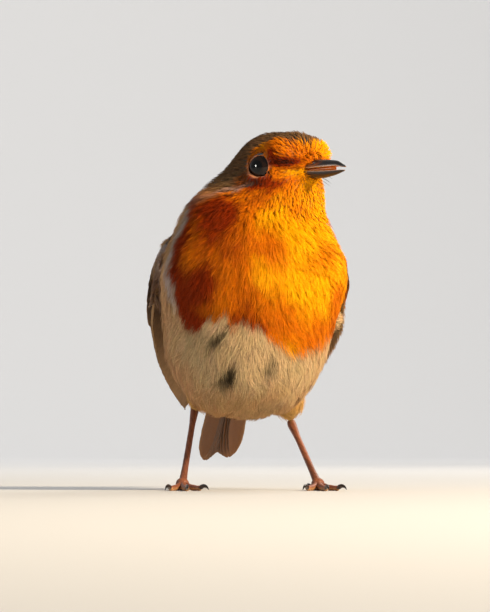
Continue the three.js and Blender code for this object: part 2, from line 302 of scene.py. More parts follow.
# Painted shade in the partings of the belly feathers: across, up, half width, half height, lean and how dark.
shadedBellyGaps = [
    (-6.1, 26.8, 1.15, 2.7, 0.1, 1), (-7.4, 26, 1.0, 1.2, 1.2, 0.9), (2.9, 28.6, 1.3, 2.4, 0.3, 0.5),
    (-8.6, 35.8, 0.95, 2.4, 0.75, 0.9), (-6.4, 38.3, 0.8, 1.8, 0.8, 0.8), (8.5, 33, 0.8, 1.7, -0.5, 0.4),
]
# The tone of the orange across the breast, in mm: below 0 redder, above 0 yellower. This is painted light:
# the orange is yellower towards the bird's lit left side and redder and darker towards its shaded right.
breastLitTones = [(-18, -1.0), (-13, -0.75), (-8, -0.3), (-2, 0.1), (4, 0.55), (9, 0.9), (14, 0.85), (19, 0.35)]
# Darker and paler places on the face: forward and up, half length and height, tilt, how much. Some are the
# face's own darker lores and cheeks; others are painted light and shade: the paler brow and the pale patch
# below the gape are painted light, and the slanting dark band below the cheek is the bill's painted shadow.
faceMarksAndShade = [
    (7.8, 0.9, 3.2, 1.0, 0, -2.1), (5.2, 2.8, 0.9, 1.8, -0.5, -1.1), (1.5, -3.8, 4.2, 1.7, 0.1, -2.0),
    (7, -2.4, 2.0, 0.8, 0.2, 0.7), (0.8, 4.8, 2.2, 1.0, 0, 0.3), (4, -6.2, 4.5, 1.2, 0.75, -0.9),
]
# Redder, darker places painted on the neck and breast as shade, the first of them the head's shadow on the
# side of the neck: across, up, half width, half height and how much.
breastShadeSpots = [(-9, 65, 4.5, 4, 0.9), (-4, 48, 3.5, 4, 0.5)]
headFrom = (64, 72)  # mm up, where the body's markings give way to the head's
toneRange = (-2.1, 1.1)


def outlineDistance(outline, x, y):
    # signed distance to a closed outline, positive inside
    corners = np.array(outline, float)
    ends = np.roll(corners, -1, axis=0)
    nearest = np.full(x.shape, 1e9)
    inside = np.zeros(x.shape, bool)
    for (ax, ay), (bx, by) in zip(corners, ends):
        ex, ey = bx - ax, by - ay
        t = np.clip(((x - ax) * ex + (y - ay) * ey) / (ex * ex + ey * ey), 0, 1)
        nearest = np.minimum(nearest, np.hypot(x - ax - t * ex, y - ay - t * ey))
        if ey:
            crosses = (ay > y) != (by > y)
            inside ^= crosses & (x < ax + (y - ay) * ex / ey)
    return np.where(inside, nearest, -nearest)


def ruffle(points, scale, seed):
    # soft noise between -1 and 1 at points in metres
    shift = np.array((seed * 7.3, seed * 3.1, seed * 5.7))
    spots = points / (scale * mm) + shift
    return np.array([noise.noise(Vector(p)) for p in spots]) * 1.6


def partingShade(points, uneven, broad):
    # how dark the painted shade in the small gaps between the belly's feathers is, 0 to 1
    x, y, z = (points / mm).T
    dark = np.zeros(len(points))
    for across, height, wide, tall, lean, depth in shadedBellyGaps:
        sideways = x - across - lean * (z - height) + uneven * 0.35
        spot = (sideways / wide) ** 2 + ((z - height + broad * 0.6) / tall) ** 2
        dark = np.maximum(dark, np.exp(-(spot**2)) * depth)
    return dark * smoothStep(-30, -34, y)


def markings(points, normals):
    # the colour of the plumage at points in metres
    x, y, z = (points / mm).T
    left, forward, up = toHead(points)
    uneven = ruffle(points, 2.2, 1)
    broad = ruffle(points, 7, 2)

    around = aroundBody(x, y)
    headward = smoothStep(*headFrom, z)

    face = outlineDistance(faceOutline, forward, up) + uneven * 0.35
    faceOrange = smoothStep(-0.5, 0.5, face)
    sideLimit = stationed(sideEdge, z) + sideTurn * smoothStep(4, 12, x)
    side = (sideLimit - around) * 0.35 + uneven * 0.6
    lower = z - stationed(breastEdge, x) + uneven * 0.7
    breast = np.minimum(side, lower)
    orange = smoothStep(-0.7, 0.7, breast) * (1 - headward) + faceOrange * headward

    backShare = smoothStep(92, 112, around + broad * 6)
    low = smoothStep(50, 38, z)
    flank = smoothStep(40, 84, around + broad * 12) * (1 - 0.65 * smoothStep(2, 10, x))
    under = mixed(plumage["belly"], plumage["flank"], flank)
    below = np.maximum(smoothStep(-16, 0, y), smoothStep(29, 19, z + broad * 2) * 0.75)
    under = mixed(under, plumage["vent"], below * 0.8)
    upper = mixed(plumage["back"], plumage["crown"], smoothStep(68, 76, z))
    colour = mixed(under, upper, np.maximum(backShare * (1 - low * 0.6), headward))
    rump = smoothStep(-6, 2, y) * smoothStep(0.1, 0.4, normals[:, 2])
    colour = mixed(colour, plumage["back"], rump)

    cheek = smoothStep(3.4, 1.6, np.hypot(forward + 1.6, (up + 3.4) * 1.1)) * headward
    colour = mixed(colour, plumage["cheek"], cheek)

    nearOrange = np.where(headward > 0.5, face, np.where(side < lower, side, -9))
    bandWidth = np.where(headward > 0.5, 1.6, 3.2)
    band = smoothStep(-bandWidth, -bandWidth * 0.4, nearOrange) * 0.75
    neckSide = smoothStep(-3, -6, up) * 0.8
    band = band * np.where(headward > 0.5, neckSide, smoothStep(40, 47, z))
    colour = mixed(colour, plumage["grey"], band * (1 - orange))

    leg = smoothStep(29, 22, z) * smoothStep(7, 9, np.abs(x)) * smoothStep(-19, -15, y)
    colour = mixed(colour, plumage["thigh"], leg * 0.8)

    # painted light: yellower towards the bird's lit left, on the breast and the face, and on the lit brow;
    # redder at its shaded right and the lores
    onFace = 0.55 + 0.05 * left
    for middle, high, long, tall, tilt, much in faceMarksAndShade:
        level = up - high - tilt * (forward - middle)
        onFace = onFace + much * softSpot((forward - middle) / long, level / tall)
    # painted shade as well: the lower breast is made darker
    onBreast = stationed(breastLitTones, x) - 0.75 * smoothStep(47, 37, z) + broad * 0.34
    # painted shade on the neck and breast
    for across, high, wide, tall, much in breastShadeSpots:
        onBreast = onBreast - much * softSpot((x - across) / wide, (z - high) / tall)
    tone = onBreast * (1 - headward) + onFace * headward
    tone = np.clip(tone, *toneRange) + broad * 0.26 + uneven * 0.16
    warm = mixed(plumage["orange"], plumage["orangeLight"], smoothStep(0.0, 1.1, tone))
    warm = mixed(warm, plumage["orangeDeep"], smoothStep(0.0, -1.0, tone))
    warm = mixed(warm, plumage["lore"], smoothStep(-0.9, -2.1, tone) * headward)
    # the line of the mouth runs back from the bill: the pale gape below, and above it a dark line that is
    # painted shade in the crease
    mouthLine = up - head["mouth"] - 0.06 * (9 - forward)
    onLine = smoothStep(5, 8.5, forward) * smoothStep(13, 12, forward) * headward
    pale = softSpot((mouthLine + 0.5) / 0.42, 0) * onLine
    dark = softSpot((mouthLine - 0.3) / 0.35, 0) * onLine
    warm = mixed(warm, plumage["orangeLight"], pale * 0.8)
    warm = mixed(warm, plumage["orangeDeep"] * 0.4, dark * 0.5)
    colour = mixed(colour, warm, orange)
    # painted shade: the belly's partings are darkened almost to black
    colour = mixed(colour, plumage["down"] * 0.06, partingShade(points, uneven, broad) * 0.8)
    return np.clip(colour, 0, 1)


# The bare skin under the feathers, all in one piece.
skin = {
    "voxel": 0.4,  # mm
    "swell": 0.25,  # closes the thin cuts before the parts are fused
    "bodyDepth": 1.7,  # the coat's depth
    "faceDepth": 0.75,
    "rounds": 8,
    "billFrom": 9.4,  # where the bill comes out of the face, forward of the head's middle
    "lidRadius": 2.5,
    "lidThickness": 0.3,
    "lid": srgb(176, 112, 72),
}
eye = {
    "side": 6.9,
    "forward": 1.2,
    "up": 0.1,
    "ahead": 12,  # degrees
    "radius": 3.5,
    "depth": 3,
    "opening": 2.42,
    "iris": srgb(30, 17, 10),
    "pupil": srgb(3, 3, 3),
}


def eyeFrame(side):
    # the middle of the eyeball and the way it looks
    ahead = math.radians(eye["ahead"])
    middle = inHead(side * eye["side"], eye["forward"], eye["up"])
    look = headAxis(side * math.cos(ahead), math.sin(ahead), 0)
    return middle, look


def aroundEye(points, side):
    # how far in front of the eyeball's middle, how far out, and the way out
    middle, look = eyeFrame(side)
    gap = points - np.array(middle)
    along = gap @ np.array(look)
    outward = gap - along[:, None] * np.array(look)
    return along / mm, np.linalg.norm(outward, axis=1) / mm, unit(outward)


def newPiece(name, source, materials):
    if isinstance(source, bmesh.types.BMesh):
        mesh = bpy.data.meshes.new(name)
        source.to_mesh(mesh)
        source.free()
    else:
        mesh = source
        mesh.name = name
    piece = bpy.data.objects.new(name, mesh)
    bpy.context.collection.objects.link(piece)
    for material in materials:
        mesh.materials.append(material)
    mesh.polygons.foreach_set("use_smooth", [True] * len(mesh.polygons))
    return piece


def added(bm, part):
    # puts part into bm
    mesh = bpy.data.meshes.new("scratch")
    part.to_mesh(mesh)
    part.free()
    bm.from_mesh(mesh)
    bpy.data.meshes.remove(mesh)


def nodeCopies(names, swell):
    # the CAD nodes as one merged mesh, swollen a little
    bm = bmesh.new()
    for name in names:
        part = bmesh.new()
        part.from_mesh(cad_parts[name].data)
        bmesh.ops.remove_doubles(part, verts=part.verts, dist=1e-6)
        part.normal_update()
        for vert in part.verts:
            vert.co += vert.normal * swell * mm
        added(bm, part)
    return bm


def fused(bm, voxel):
    # one even surface round everything in bm
    piece = newPiece("fusing", bm, [])
    remesh = piece.modifiers.new("fuse", "REMESH")
    remesh.mode = "VOXEL"
    remesh.voxel_size = voxel * mm
    shape = piece.evaluated_get(bpy.context.evaluated_depsgraph_get()).to_mesh()
    out = bmesh.new()
    out.from_mesh(shape)
    mesh = piece.data
    bpy.data.objects.remove(piece)
    bpy.data.meshes.remove(mesh)
    return out


def relaxed(bm, rounds):
    for _ in range(rounds):
        bmesh.ops.smooth_vert(
            bm, verts=bm.verts, factor=0.5, use_axis_x=True, use_axis_y=True, use_axis_z=True
        )


def arrays(bm):
    bm.normal_update()
    places = np.array([v.co[:] for v in bm.verts])
    normals = np.array([v.normal[:] for v in bm.verts])
    return places, normals


def moved(bm, places):
    for vert, place in zip(bm.verts, places):
        vert.co = place


def coatDepth(points):
    # how deep the skin lies below the tips, in mm
    left, forward, up = toHead(points)
    onFace = smoothStep(15, 9, headReach(left, forward, up))
    depth = skin["bodyDepth"] + (skin["faceDepth"] - skin["bodyDepth"]) * onFace
    for side in (1, -1):
        along, across, _ = aroundEye(points, side)
        depth = depth * np.where(along > 0, smoothStep(2.6, 5.0, across), 1)
    billAway = np.hypot(np.hypot(left, (up - head["mouth"]) * 1.3), np.maximum(0, 9 - forward))
    depth = depth * smoothStep(2.6, 6, billAway) - 0.35 * smoothStep(4.5, 3, billAway)
    slim = smoothStep(24, 19, points[:, 2] / mm) * smoothStep(6, 8, np.abs(points[:, 0]) / mm)
    return depth * (1 - 0.55 * slim)


def eyelid(side):
    middle, look = eyeFrame(side)
    ring = bmesh.new()
    bmesh.ops.create_circle(ring, segments=10, radius=skin["lidThickness"] * mm)
    bmesh.ops.rotate(ring, verts=ring.verts, matrix=Matrix.Rotation(math.pi / 2, 3, "X"))
    bmesh.ops.translate(ring, verts=ring.verts, vec=(skin["lidRadius"] * mm, 0, 0))
    bmesh.ops.spin(
        ring, geom=ring.edges[:], axis=(0, 0, 1), steps=40, angle=2 * math.pi, use_merge=True
    )
    bmesh.ops.recalc_face_normals(ring, faces=ring.faces)
    bmesh.ops.rotate(ring, verts=ring.verts, matrix=look.to_track_quat("Z", "Y").to_matrix())
    out = math.sqrt(eye["radius"] ** 2 - eye["opening"] ** 2)
    bmesh.ops.translate(ring, verts=ring.verts, vec=middle + look * out * mm)
    return ring


def billRoot():
    # the part of the bill that is under the skin, to close the mouth behind it
    root = nodeCopies(["bill_upper", "bill_lower"], skin["swell"])
    cutAt = bmesh.ops.bisect_plane(
        root, geom=root.verts[:] + root.edges[:] + root.faces[:],
        plane_co=inHead(0, skin["billFrom"], 0), plane_no=headAxis(0, 1, 0), clear_outer=True,
    )
    rim = [item for item in cutAt["geom_cut"] if isinstance(item, bmesh.types.BMEdge)]
    bmesh.ops.holes_fill(root, edges=rim)
    return root


fleshNodes = ("trunk", "neck", "head", "thigh_left", "thigh_right")


def makeSkin():
    bm = nodeCopies(fleshNodes, skin["swell"])
    added(bm, billRoot())
    for side in (1, -1):
        added(bm, eyelid(side))
    bm = fused(bm, skin["voxel"])
    relaxed(bm, skin["rounds"])
    places, normals = arrays(bm)
    depth = coatDepth(places) + skin["swell"]
    moved(bm, places - normals * depth[:, None] * mm)
    relaxed(bm, 2)
    return bm


skinMesh = makeSkin()
skinPlaces, skinNormals = arrays(skinMesh)
skinTree = BVHTree.FromBMesh(skinMesh)
skinFaces = np.array([[v.index for v in f.verts] for f in skinMesh.faces])
skinCopy = skinMesh.copy()
print("skin made,", len(skinPlaces), "vertices")


def orangeness(colour):
    # only the orange has next to no blue in it
    return smoothStep(0.03, 0.0, colour[:, 2])


def skinColours(points, normals):
    # grey down under the white and brown, warm under the orange
    colour = markings(points, normals)
    warm = orangeness(colour)
    cool = mixed(colour * 0.62, plumage["down"] * 0.6, 0.22)
    colour = mixed(cool, colour * 0.8, warm)
    for side in (1, -1):
        along, across, _ = aroundEye(points, side)
        lid = smoothStep(2.85, 2.62, across) * (along > 0)
        colour = mixed(colour, skin["lid"], lid)
    return colour


def setTint(mesh, colours):
    # a colour for each vertex, or one for all
    layer = mesh.color_attributes.new("tint", "FLOAT_COLOR", "POINT")
    packed = np.ones((len(mesh.vertices), 4), np.float32)
    packed[:, :3] = colours
    layer.data.foreach_set("color", packed.ravel())


def finished(piece, slot, *nodes):
    # the model is still, so every piece rides on its one body
    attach(piece, "root")
    if nodes:
        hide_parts(*nodes)


def makeUnevenGroup():
    # breaks up a colour with fine noise, and gives the noise for a bump
    group = bpy.data.node_groups.new("unevenTone", "ShaderNodeTree")
    sockets = [
        ("Colour", "NodeSocketColor"), ("Place", "NodeSocketVector"), ("Scale", "NodeSocketFloat"),
        ("Detail", "NodeSocketFloat"), ("Darkest", "NodeSocketFloat"), ("Lightest", "NodeSocketFloat"),
    ]
    for name, kind in sockets:
        group.interface.new_socket(name, in_out="INPUT", socket_type=kind)
    group.interface.new_socket("Colour", in_out="OUTPUT", socket_type="NodeSocketColor")
    group.interface.new_socket("Height", in_out="OUTPUT", socket_type="NodeSocketFloat")
    nodes, links = group.nodes, group.links
    given = nodes.new("NodeGroupInput")
    made = nodes.new("NodeGroupOutput")
    grain = nodes.new("ShaderNodeTexNoise")
    spread = nodes.new("ShaderNodeMapRange")
    spread.inputs["From Min"].default_value = 0.25
    spread.inputs["From Max"].default_value = 0.75
    tone = nodes.new("ShaderNodeVectorMath")
    tone.operation = "SCALE"
    links.new(given.outputs["Place"], grain.inputs["Vector"])
    links.new(given.outputs["Scale"], grain.inputs["Scale"])
    links.new(given.outputs["Detail"], grain.inputs["Detail"])
    links.new(given.outputs["Darkest"], spread.inputs["To Min"])
    links.new(given.outputs["Lightest"], spread.inputs["To Max"])
    links.new(grain.outputs["Fac"], spread.inputs["Value"])
    links.new(given.outputs["Colour"], tone.inputs[0])
    links.new(spread.outputs["Result"], tone.inputs["Scale"])
    links.new(tone.outputs["Vector"], made.inputs["Colour"])
    links.new(grain.outputs["Fac"], made.inputs["Height"])
    return group


unevenTone = makeUnevenGroup()


def addUneven(material, shader, place, scale, detail, darkest, lightest, dent):
    # the mesh's own tint, made uneven, and its bump
    nodes, links = material.node_tree.nodes, material.node_tree.links
    tint = nodes.new("ShaderNodeAttribute")
    tint.attribute_name = "tint"
    uneven = nodes.new("ShaderNodeGroup")
    uneven.node_tree = unevenTone
    uneven.inputs["Scale"].default_value = scale
    uneven.inputs["Detail"].default_value = detail
    uneven.inputs["Darkest"].default_value = darkest
    uneven.inputs["Lightest"].default_value = lightest
    links.new(tint.outputs["Color"], uneven.inputs["Colour"])
    links.new(place, uneven.inputs["Place"])
    links.new(uneven.outputs["Colour"], shader.inputs["Base Color"])
    if dent:
        bump = nodes.new("ShaderNodeBump")
        bump.inputs["Strength"].default_value = 0.6
        bump.inputs["Distance"].default_value = dent * mm
        links.new(uneven.outputs["Height"], bump.inputs["Height"])
        links.new(bump.outputs["Normal"], shader.inputs["Normal"])


def tintMaterial(name, look):
    material, shader = plainMaterial(name, (0.5, 0.4, 0.3), look["roughness"])
    place = material.node_tree.nodes.new("ShaderNodeTexCoord").outputs["Object"]
    spread = look["uneven"]
    addUneven(
        material, shader, place, look["grain"], 3, 1 - spread, 1 + spread, look.get("dent", 0)
    )
    shader.inputs["Specular IOR Level"].default_value = look.get("specular", 0.5)
    shader.inputs["Sheen Weight"].default_value = look.get("sheen", 0)
    shader.inputs["Sheen Roughness"].default_value = 0.4
    shader.inputs["Coat Weight"].default_value = look.get("gloss", 0)
    shader.inputs["Coat Roughness"].default_value = look.get("glossRoughness", 0.05)
    return material


downySkin = tintMaterial(
    "downySkin", {"roughness": 0.8, "grain": 900, "uneven": 0.3, "dent": 0.2, "sheen": 0.2}
)
skinPiece = newPiece("skin", skinMesh, [downySkin])
setTint(skinPiece.data, skinColours(skinPlaces, skinNormals))
finished(skinPiece, "belly_feathers", *fleshNodes)


# Which way the small feathers lie.
flow = {
    "body": (0, 0.5, -0.86),
    "tail": (0, 0.86, -0.5),
    "spread": 0.18,
    "billBase": (0, 11, -1),  # in the head's frame
    "eyePush": 1.6,
}


def onSurface(way, normals):
    return unit(way - normals * np.sum(way * normals, axis=1)[:, None])


def lieOnBody(points, normals):
    x, y = (points / mm).T[:2]
    left, forward, up = toHead(points)
    toTail = smoothStep(-10, 4, y)[:, None]
    body = np.array(flow["body"]) * (1 - toTail) + np.array(flow["tail"]) * toTail
    body[:, 0] += flow["spread"] * np.clip((x - bodyAxis[0]) / 12, -1, 1) * (1 - toTail[:, 0])
    away = unit(points - np.array(inHead(*flow["billBase"])))
    throat = smoothStep(0, -7, up)[:, None]
    away = unit(away * (1 - 0.55 * throat) + np.array((0, 0.15, -1)) * 0.55 * throat)
    onHead = smoothStep(20, 11, np.sqrt(left**2 + forward**2 + up**2))[:, None]
    way = unit(body) * (1 - onHead) + away * onHead
    for side in (1, -1):
        along, across, outward = aroundEye(points, side)
        push = (smoothStep(5.2, 3.0, across) * (along > 0) * flow["eyePush"])[:, None]
        way = way + (outward + np.array((0, 0, -0.35))) * push
    return onSurface(way, normals)


def nearestOn(tree, points):
    # the nearest places on a surface, with the normals there
    found = [tree.find_nearest(Vector(p)) for p in points]
    places = np.array([f[0][:] for f in found])
    normals = np.array([f[1][:] for f in found])
    return places, normals


def skinUnwrap(points):
    # round the bird and down its length, with domed ends, for the baking map
    x, y, z = (points / mm).T
    level = np.clip(z, 36, 72)
    middleX = stationed([(36, -0.2), (60, 0.8), (72, 6)], level)
    middleY = stationed([(36, -15), (60, -26), (72, -30)], level)
    out = np.hypot(x - middleX, y - middleY)
    around = np.arctan2(x - middleX, -(y - middleY)) / (2 * math.pi) + 0.5
    down = (72 - level) - np.arctan2(z - level, out) * 16
    down = (down + 16 * math.pi / 2) / (36 + 16 * math.pi)
    return np.stack([around * 0.97 + 0.015, down * 0.97 + 0.015], axis=1)


def spreadRoots(places, normals, faces, spacing, keep, rng):
    # roots spread evenly over a surface of quads, spacing(points) mm apart
    corners = places[faces]
    size = np.cross(corners[:, 1] - corners[:, 0], corners[:, 3] - corners[:, 0])
    area = np.linalg.norm(size, axis=1)
    tries = int(area.sum() / (0.26 * mm) ** 2)
    pick = rng.choice(len(area), size=tries, p=area / area.sum())
    a, b = rng.random((2, tries, 1))
    c = corners[pick]
    points = (c[:, 0] * (1 - a) + c[:, 1] * a) * (1 - b) + (c[:, 3] * (1 - a) + c[:, 2] * a) * b
    facing = unit(normals[faces[pick]].mean(axis=1))
    wanted = keep(points, facing)
    points, facing = points[wanted], facing[wanted]
    gaps = spacing(points) ** 2
    spots = points / mm
    cells = np.floor(spots / 1.3).astype(int).tolist()
    near = [(i, j, k) for i in (-1, 0, 1) for j in (-1, 0, 1) for k in (-1, 0, 1)]
    buckets, chosen = {}, []
    for n, (spot, gap, cell) in enumerate(zip(spots.tolist(), gaps.tolist(), cells)):
        px, py, pz = spot
        cx, cy, cz = cell
        crowded = False
        for i, j, k in near:
            for qx, qy, qz in buckets.get((cx + i, cy + j, cz + k), ()):
                if (px - qx) ** 2 + (py - qy) ** 2 + (pz - qz) ** 2 < gap:
                    crowded = True
                    break
            if crowded:
                break
        if not crowded:
            buckets.setdefault((cx, cy, cz), []).append((px, py, pz))
            chosen.append(n)
    return points[chosen], facing[chosen]


def wrapped(columns, rows, place):
    # a closed round shape: place gives points for along (0 to 1) and round (an angle)
    bm = bmesh.new()
    bmesh.ops.create_uvsphere(bm, u_segments=columns, v_segments=rows, radius=1)
    ball = np.array([v.co[:] for v in bm.verts])
    along = 1 - np.arccos(np.clip(ball[:, 2], -1, 1)) / math.pi
    turnAt = np.arctan2(ball[:, 1], ball[:, 0])
    moved(bm, place(along, turnAt))
    bmesh.ops.recalc_face_normals(bm, faces=bm.faces)
    return bm, along, turnAt


# The bill: two halves, a little open.
bill = {
    "corner": 4.4,
    "upperTip": 20.9,
    "lowerTip": 20.5,
    "opening": 3.4,
    "hook": 0.45,
    "hookFrom": 18,
    "biting": 0.03,
    "width": [(4.4, 3.2), (7, 3.0), (10, 2.5), (12, 2.05), (14, 1.6), (17.5, 1), (20, 0.5), (21, 0.25)],
    "culmen": [
        (4.4, 0.4), (8, 0.8), (10.4, 1.9), (12, 2.15), (15, 1.85), (18, 1.4), (19.8, 0.85), (21, 0.3),
    ],
    "gonys": [(4.4, 0.4), (8, 1.0), (11, 1.85), (14, 1.8), (17.5, 1.2), (20, 0.45), (21, 0.2)],
    "nostril": {"forward": 12.0, "height": 1.0, "long": 1.05, "high": 0.3, "deep": 0.3},
    "horn": srgb(30, 30, 34),
    "edge": srgb(176, 116, 56),
    "lower": srgb(40, 31, 27),
    "lining": srgb(244, 170, 54),
    "slit": srgb(200, 130, 96),
    "tongue": {"from": 7, "to": 17.8, "share": 0.62, "over": 0.16, "colour": srgb(232, 136, 34)},
}


def easedStations(stations, t, blur=0.9):
    return np.mean([stationed(stations, t + shift) for shift in np.linspace(-blur, blur, 9)], axis=0)


def fromNostril(forward, arch):
    # how far ahead of the nostril, in its own lengths, and how far above it
    nostril = bill["nostril"]
    gap = forward - nostril["forward"]
    return gap / nostril["long"], arch - nostril["height"] - 0.12 * gap


def billHalf(upper):
    heights = bill["culmen"] if upper else bill["gonys"]
    swing = math.radians(0 if upper else bill["opening"])
    tip = bill["upperTip"] if upper else bill["lowerTip"]
    span = tip - bill["corner"]
    sign = 1 if upper else -1
    nostril = bill["nostril"]

    def place(along, turnAt):
        out = along * span
        forward = bill["corner"] + out
        wide = easedStations(bill["width"], forward)
        high = easedStations(heights, forward) - bill["biting"]
        end = np.minimum(along, 1 - along) * span
        close = np.sqrt(1 - np.maximum(0, 1 - end / 0.5) ** 2)
        lift = np.sin(turnAt)
        arch = np.where(lift > 0, np.abs(lift) ** 0.92 * high, 0)
        # the roof and floor of the mouth are hollow between the cutting edges
        hollow = np.where(lift < 0, -lift * 0.5 * high * smoothStep(0, 0.5, -lift), 0)
        bend = bill["hook"] * smoothStep(bill["hookFrom"], tip, forward) if upper else 0
        side = np.cos(turnAt)
        side = side * (1 - 0.06 * smoothStep(0.5, 1, lift))
        height = sign * (bill["biting"] + (arch + hollow) * close) - bend
        if upper:
            ahead, level = fromNostril(forward, arch)
            pit = softSpot(ahead, level / nostril["high"]) * (lift > 0.05)
            groove = softSpot(ahead / 2.2, level / 0.6) * (lift > 0.05)
            side = side * (1 - (pit * nostril["deep"] + groove * 0.1) / np.maximum(wide, 0.5))
        left = side * wide * close * sign
        return fromHead(
            left,
            bill["corner"] + out * math.cos(swing),
            head["mouth"] - out * math.sin(swing) + height,
        )

    bm, along, turnAt = wrapped(56, 96, place)
    forward = bill["corner"] + along * span
    lift = np.sin(turnAt)
    if upper:
        colour = mixed(bill["horn"], bill["edge"], smoothStep(0.3, 0.04, lift))
        colour = mixed(colour, bill["edge"] * 0.9, smoothStep(11.5, 9, forward) * 0.5)
        arch = np.clip(lift, 0, 1) * (easedStations(bill["culmen"], forward) - bill["biting"])
        ahead, level = fromNostril(forward, arch)
        ring = softSpot(ahead / 1.3, (level + 0.25) / 0.3) * (lift > 0.05)
        pit = softSpot(ahead / 0.8, level / 0.22) * (lift > 0.05)
        colour = mixed(colour, bill["slit"], ring * 0.45)
        # painted shade: the nostril's opening is darkened almost to black
        colour = mixed(colour, bill["horn"] * 0.2, pit * 0.95)
    else:
        colour = mixed(bill["lower"], bill["edge"], smoothStep(0.22, 0.03, lift) * 0.8)
        colour = mixed(colour, bill["edge"], smoothStep(12.5, 8, forward) * 0.5)
    colour = mixed(colour, bill["lining"], smoothStep(0.02, -0.12, lift))
    return bm, colour


def makeTongue(horn):
    # lies along the lower half and fills most of the gap between the two
    rule = bill["tongue"]
    slope = math.tan(math.radians(bill["opening"]))

    def place(along, turnAt):
        forward = rule["from"] + along * (rule["to"] - rule["from"])
        gap = (forward - bill["corner"]) * slope
        end = np.minimum(along, 1 - along) * (rule["to"] - rule["from"])
        close = np.sqrt(1 - np.maximum(0, 1 - end / 1.4) ** 2)
        wide = easedStations(bill["width"], forward) * rule["share"] * close
        high = (gap * 0.5 + rule["over"]) * close
        height = head["mouth"] - gap * 0.5 + np.sin(turnAt) * high
        return fromHead(np.cos(turnAt) * wide, forward, height)

    bm, along, turnAt = wrapped(28, 48, place)
    piece = newPiece("tongue", bm, [horn])
    # painted shade: a darker stripe along the middle of the tongue's top, where the shape has no groove
    groove = smoothStep(0.25, 0, np.abs(np.cos(turnAt))) * (np.sin(turnAt) > 0)
    setTint(piece.data, mixed(rule["colour"], rule["colour"] * 0.5, groove * 0.6))
    finished(piece, "bill")


def makeBill():
    horn = tintMaterial("billHorn", {"roughness": 0.34, "grain": 1200, "uneven": 0.14, "dent": 0.03})
    for upper, name in ((True, "upper"), (False, "lower")):
        bm, colour = billHalf(upper)
        piece = newPiece(f"bill_{name}_horn", bm, [horn])
        setTint(piece.data, colour)
        finished(piece, "bill", f"bill_{name}")
    makeTongue(horn)


makeBill()
print("bill made")


# One entry for each kind of small feather. Lengths in mm.
coatKinds = {
    "face": {"spacing": 0.38, "length": 2.6, "half": 0.42, "barb": 0.032, "stray": 0.15, "lift": 1.0},
    "crown": {"spacing": 0.41, "length": 3.0, "half": 0.48, "barb": 0.042, "stray": 0.14, "lift": 1.0},
    "throat": {"spacing": 0.4, "length": 4.2, "half": 0.8, "barb": 0.036, "stray": 0.18, "lift": 1.0},
    "breast": {"spacing": 0.46, "length": 6.0, "half": 1.3, "barb": 0.046, "stray": 0.19, "lift": 1.0},
    "belly": {"spacing": 0.57, "length": 8.0, "half": 1.9, "barb": 0.054, "stray": 0.25, "lift": 1.1},
    "back": {"spacing": 0.72, "length": 6.5, "half": 1.7, "barb": 0.075, "stray": 0.12, "lift": 0.9},
    "leg": {"spacing": 0.55, "length": 4.0, "half": 0.8, "barb": 0.05, "stray": 0.2, "lift": 1.0},
}
coat = {
    "seed": 11,
    "barbs": 11,
    "steps": 5,
    "tuftNoise": 0.38,  # how far neighbouring feathers lean together, in radians
    "overWing": 0.35,  # mm above the wing where breast feathers lap over it
    "least": 0.3,  # mm
    "eyeGap": 2.58,  # mm of bare lid round the middle of each eye
    "collar": {"count": 520, "from": 8.5, "to": 10.0, "reach": 4.2, "length": 2.5},
    "pieceTriangles": 190000,
    "patch": 0.003,  # of the baking map
}


def kindShares(points, normals):
    x, y, z = (points / mm).T
    left, forward, up = toHead(points)
    onHead = smoothStep(17, 12, headReach(left, forward, up))
    above = smoothStep(3, 6, up + 0.25 * (forward * -1 - 2))
    around = aroundBody(x, y)
    shares = {"crown": onHead * above, "face": onHead * (1 - above)}
    body = 1 - onHead
    leg = smoothStep(26, 21, z) * smoothStep(6.5, 8.5, np.abs(x)) * smoothStep(-22, -18, y)
    rump = smoothStep(-8, 0, y) * smoothStep(0, 0.4, normals[:, 2])
    back = np.maximum(smoothStep(95, 112, around) * smoothStep(34, 40, z), rump)
    for kind, share in (
        ("leg", leg), ("back", back), ("throat", smoothStep(60, 68, z)), ("belly", smoothStep(43, 36, z))
    ):
        # each kind takes its share of what the ones before it left
        shares[kind] = body * share
        body = body * (1 - share)
    shares["breast"] = body
    return shares


def kindValue(shares, key):
    return sum(share * coatKinds[kind][key] for kind, share in shares.items())


def copyOfNodes(names):
    bm = nodeCopies(names, 0)
    tree = BVHTree.FromBMesh(bm)
    bm.free()
    return tree


wingGroups = ("coverts", "secondaries", "primaries")
wingNodes = {side: [f"wing_{label}_{group}" for group in wingGroups] for side, label in sides}
wingTree = copyOfNodes(wingNodes[1] + wingNodes[-1])


def heightOver(tree, points, normals, reach):
    # how far the outside of another part stands above the skin here, in mm, or 0
    heights = np.zeros(len(points))
    for n, (p, q) in enumerate(zip(points, normals)):
        start = Vector(p + q * reach * mm)
        hit = tree.ray_cast(start, Vector(-q), reach * mm)
        if hit[0] is not None:
            heights[n] = reach - (hit[0] - start).length / mm
    return heights


def keepOpen(points, normals):
    # no feathers in the mouth, in the eye sockets or under the wings
    keep = np.ones(len(points), bool)
    left, forward, up = toHead(points)
    keep &= ~((forward > 8) & (np.abs(left) < 1.6) & (np.abs(up + 1) < 1.2))
    keep &= forward < 12.4
    for side in (1, -1):
        along, across, _ = aroundEye(points, side)
        keep &= ~((along > 0) & (across < coat["eyeGap"]))
    keep[keep] &= heightOver(wingTree, points[keep], normals[keep], 4.5) < 0.2
    return keep


